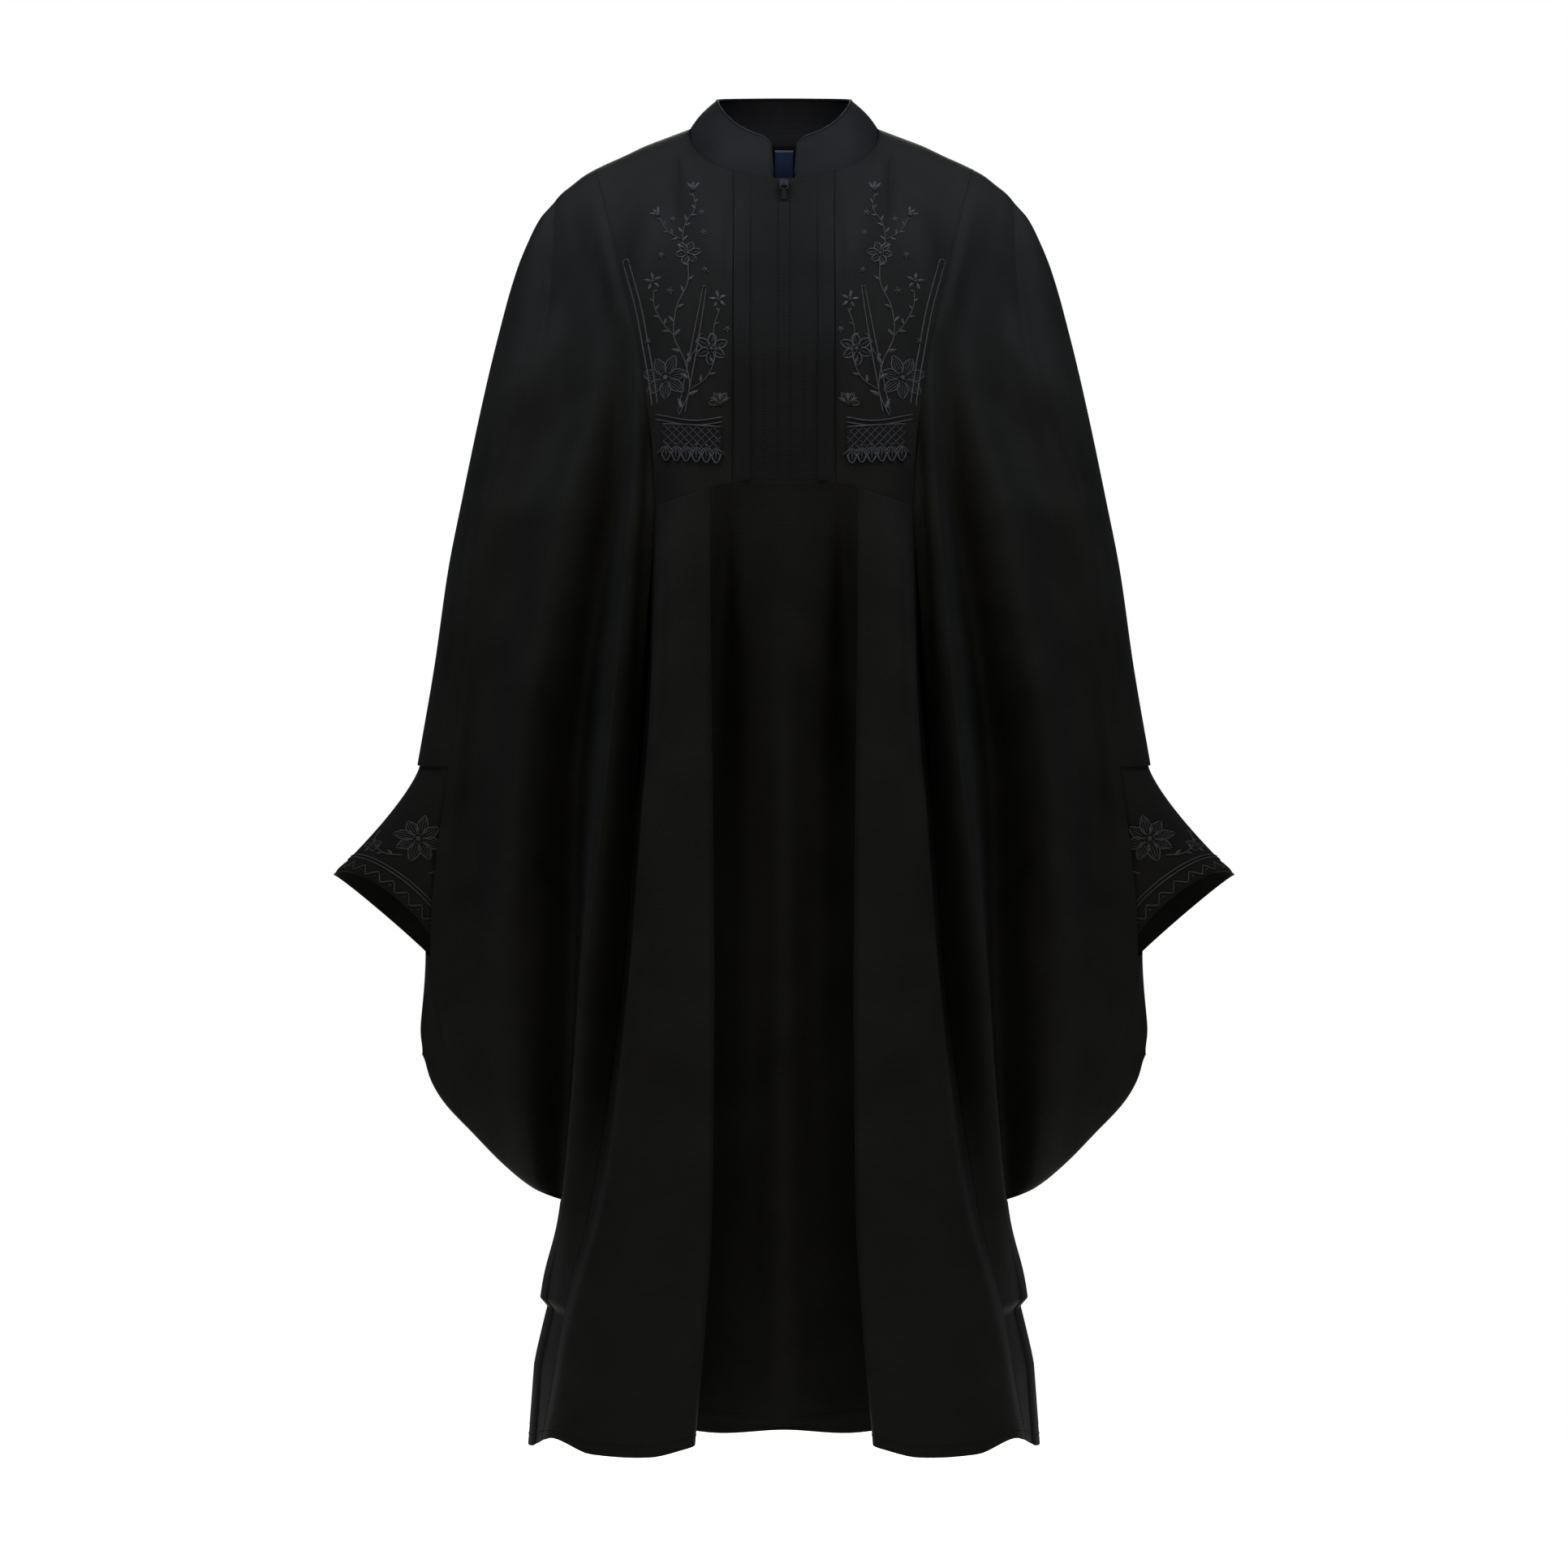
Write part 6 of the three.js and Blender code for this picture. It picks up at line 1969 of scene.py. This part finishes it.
@dataclass
class NeckLabel:
    """Plain woven label, folded over and sewn in at the back of the neck."""

    form: GarmentForm
    half: float = 9.0
    top: float = -4.5
    length: float = 34.0
    inset: float = 2.4

    def build(self) -> None:
        """The label as a thin, slightly curled sheet."""
        ground = FrontGround(both_halves(self.form.back_half)[: UPPER + 1], -1)
        x = np.broadcast_to(np.linspace(-self.half, self.half, 9), (16, 9))
        share = np.linspace(0, 1, 16)[:, None]
        z = self.top - self.length * share + 0 * x
        found, way = ground.lay(x, z)
        curl = 0.9 * (x / self.half) ** 2 * share + 0.8 * np.sin(np.pi * share) ** 2
        sheet = Needlework(ground)
        uv = np.stack([x, z], axis=-1).reshape(-1, 2) * MM
        inner = found - way * (self.inset + curl)[..., None]
        sheet.closed_pad(inner, inner - way * 0.6, uv)
        obj = sheet.parts.build("neck_label_tape")
        finish_piece(obj, TAPE, ("neck_label",))


# ---------------------------------------------------------------- the studio
@dataclass
class Studio:
    """Glowing pale floor, soft lights and the camera."""

    floor_rings: tuple[float, ...] = (0.5, 0.9, 1.3, 1.7)
    distance: float = 4.2
    eye_z: float = -0.61
    frame_width: float = 1.472
    sensor: float = 36.0
    surround: float = 0.08

    def build(self) -> None:
        """Floor, lights and camera."""
        self.build_floor()
        self.build_lights()
        self.build_camera()

    def build_floor(self) -> None:
        """A round floor that glows, as painted light, more towards its rim, where it meets the pale surround.
        """
        around = np.radians(np.arange(0, 360, 5))
        rings = [(r * np.cos(t), r * np.sin(t)) for r in self.floor_rings for t in around]
        places = np.array([(x, y, FLOOR_Z) for x, y in ((0.0, 0.0), *rings)]) / MM
        count = len(around)
        faces: list[tuple[int, ...]] = [(0, 1 + i, 1 + (i + 1) % count) for i in range(count)]
        for ring in range(len(self.floor_rings) - 1):
            inner, outer = 1 + ring * count, 1 + (ring + 1) * count
            faces += [
                (inner + i, outer + i, outer + (i + 1) % count, inner + (i + 1) % count) for i in range(count)
            ]
        obj = make_object("studio_floor", places, faces)
        obj.data.materials.append(GlowingFloorBoard().material())

    def build_lights(self) -> None:
        """A pale surround and large soft lights in front, above and at the sides."""
        world = bpy.data.worlds.new("pale surround")
        world.use_nodes = True
        path = add_node(world.node_tree, "LightPath")
        seen = add_node(world.node_tree, "MapRange", {"To Min": self.surround}, Value=(path, "Is Camera Ray"))
        shade = world.node_tree.nodes["Background"]
        shade.inputs["Color"].default_value = linear("#ffffff")
        world.node_tree.links.new(seen.outputs["Result"], shade.inputs["Strength"])
        bpy.context.scene.world = world
        for name, place, size, watts, tint in (
            ("left key", (-1.9, -2.8, 0.5), 1.2, 12, "#fff0cc"),
            ("right key", (1.9, -2.8, 0.5), 1.2, 12, "#fff0cc"),
            ("left shoulder light", (-0.75, -0.45, 0.75), 0.6, 23, "#e0e9ff"),
            ("right shoulder light", (0.75, -0.45, 0.75), 0.6, 23, "#e0e9ff"),
            ("top", (0.0, -1.5, 1.2), 1.6, 16, "#fff6e6"),
            ("back", (0.0, 2.6, 1.3), 1.2, 60, "#fff8e6"),
        ):
            data = bpy.data.lights.new(name, "AREA")
            data.shape = "SQUARE"
            data.size = size
            data.energy = watts
            data.color = linear(tint)[:3]
            lamp = bpy.data.objects.new(name, data)
            lamp.location = place
            aim = Vector((0, 0, -0.5)) - Vector(place)
            lamp.rotation_euler = aim.to_track_quat("-Z", "Y").to_euler()
            bpy.context.scene.collection.objects.link(lamp)

    def build_camera(self) -> None:
        """A level camera straight in front."""
        data = bpy.data.cameras.new("camera")
        data.sensor_width = self.sensor
        data.lens = self.sensor * self.distance / self.frame_width
        camera = bpy.data.objects.new("camera", data)
        camera.location = (0, -self.distance, self.eye_z)
        camera.rotation_euler = (math.pi / 2, 0, 0)
        bpy.context.scene.collection.objects.link(camera)
        bpy.context.scene.camera = camera
        bpy.context.scene.view_settings.view_transform = "Standard"


def main() -> None:
    """Builds the manteau, part by part, in its studio."""
    logging.basicConfig(level=logging.INFO, format="%(name)s %(message)s")
    bpy.ops.object.select_all(action="DESELECT")
    form = GarmentForm()
    Studio().build()
    Bodice(form).build()
    Collar().build()
    cuff = Cuffs(form).build()
    YokeEmbroidery(form).build()
    CuffEmbroidery(cuff, form.cap_columns).build()
    Stitches(form).build()
    ZipFastener(form).build()
    NeckLabel(form).build()


if __name__ == "__main__":
    main()
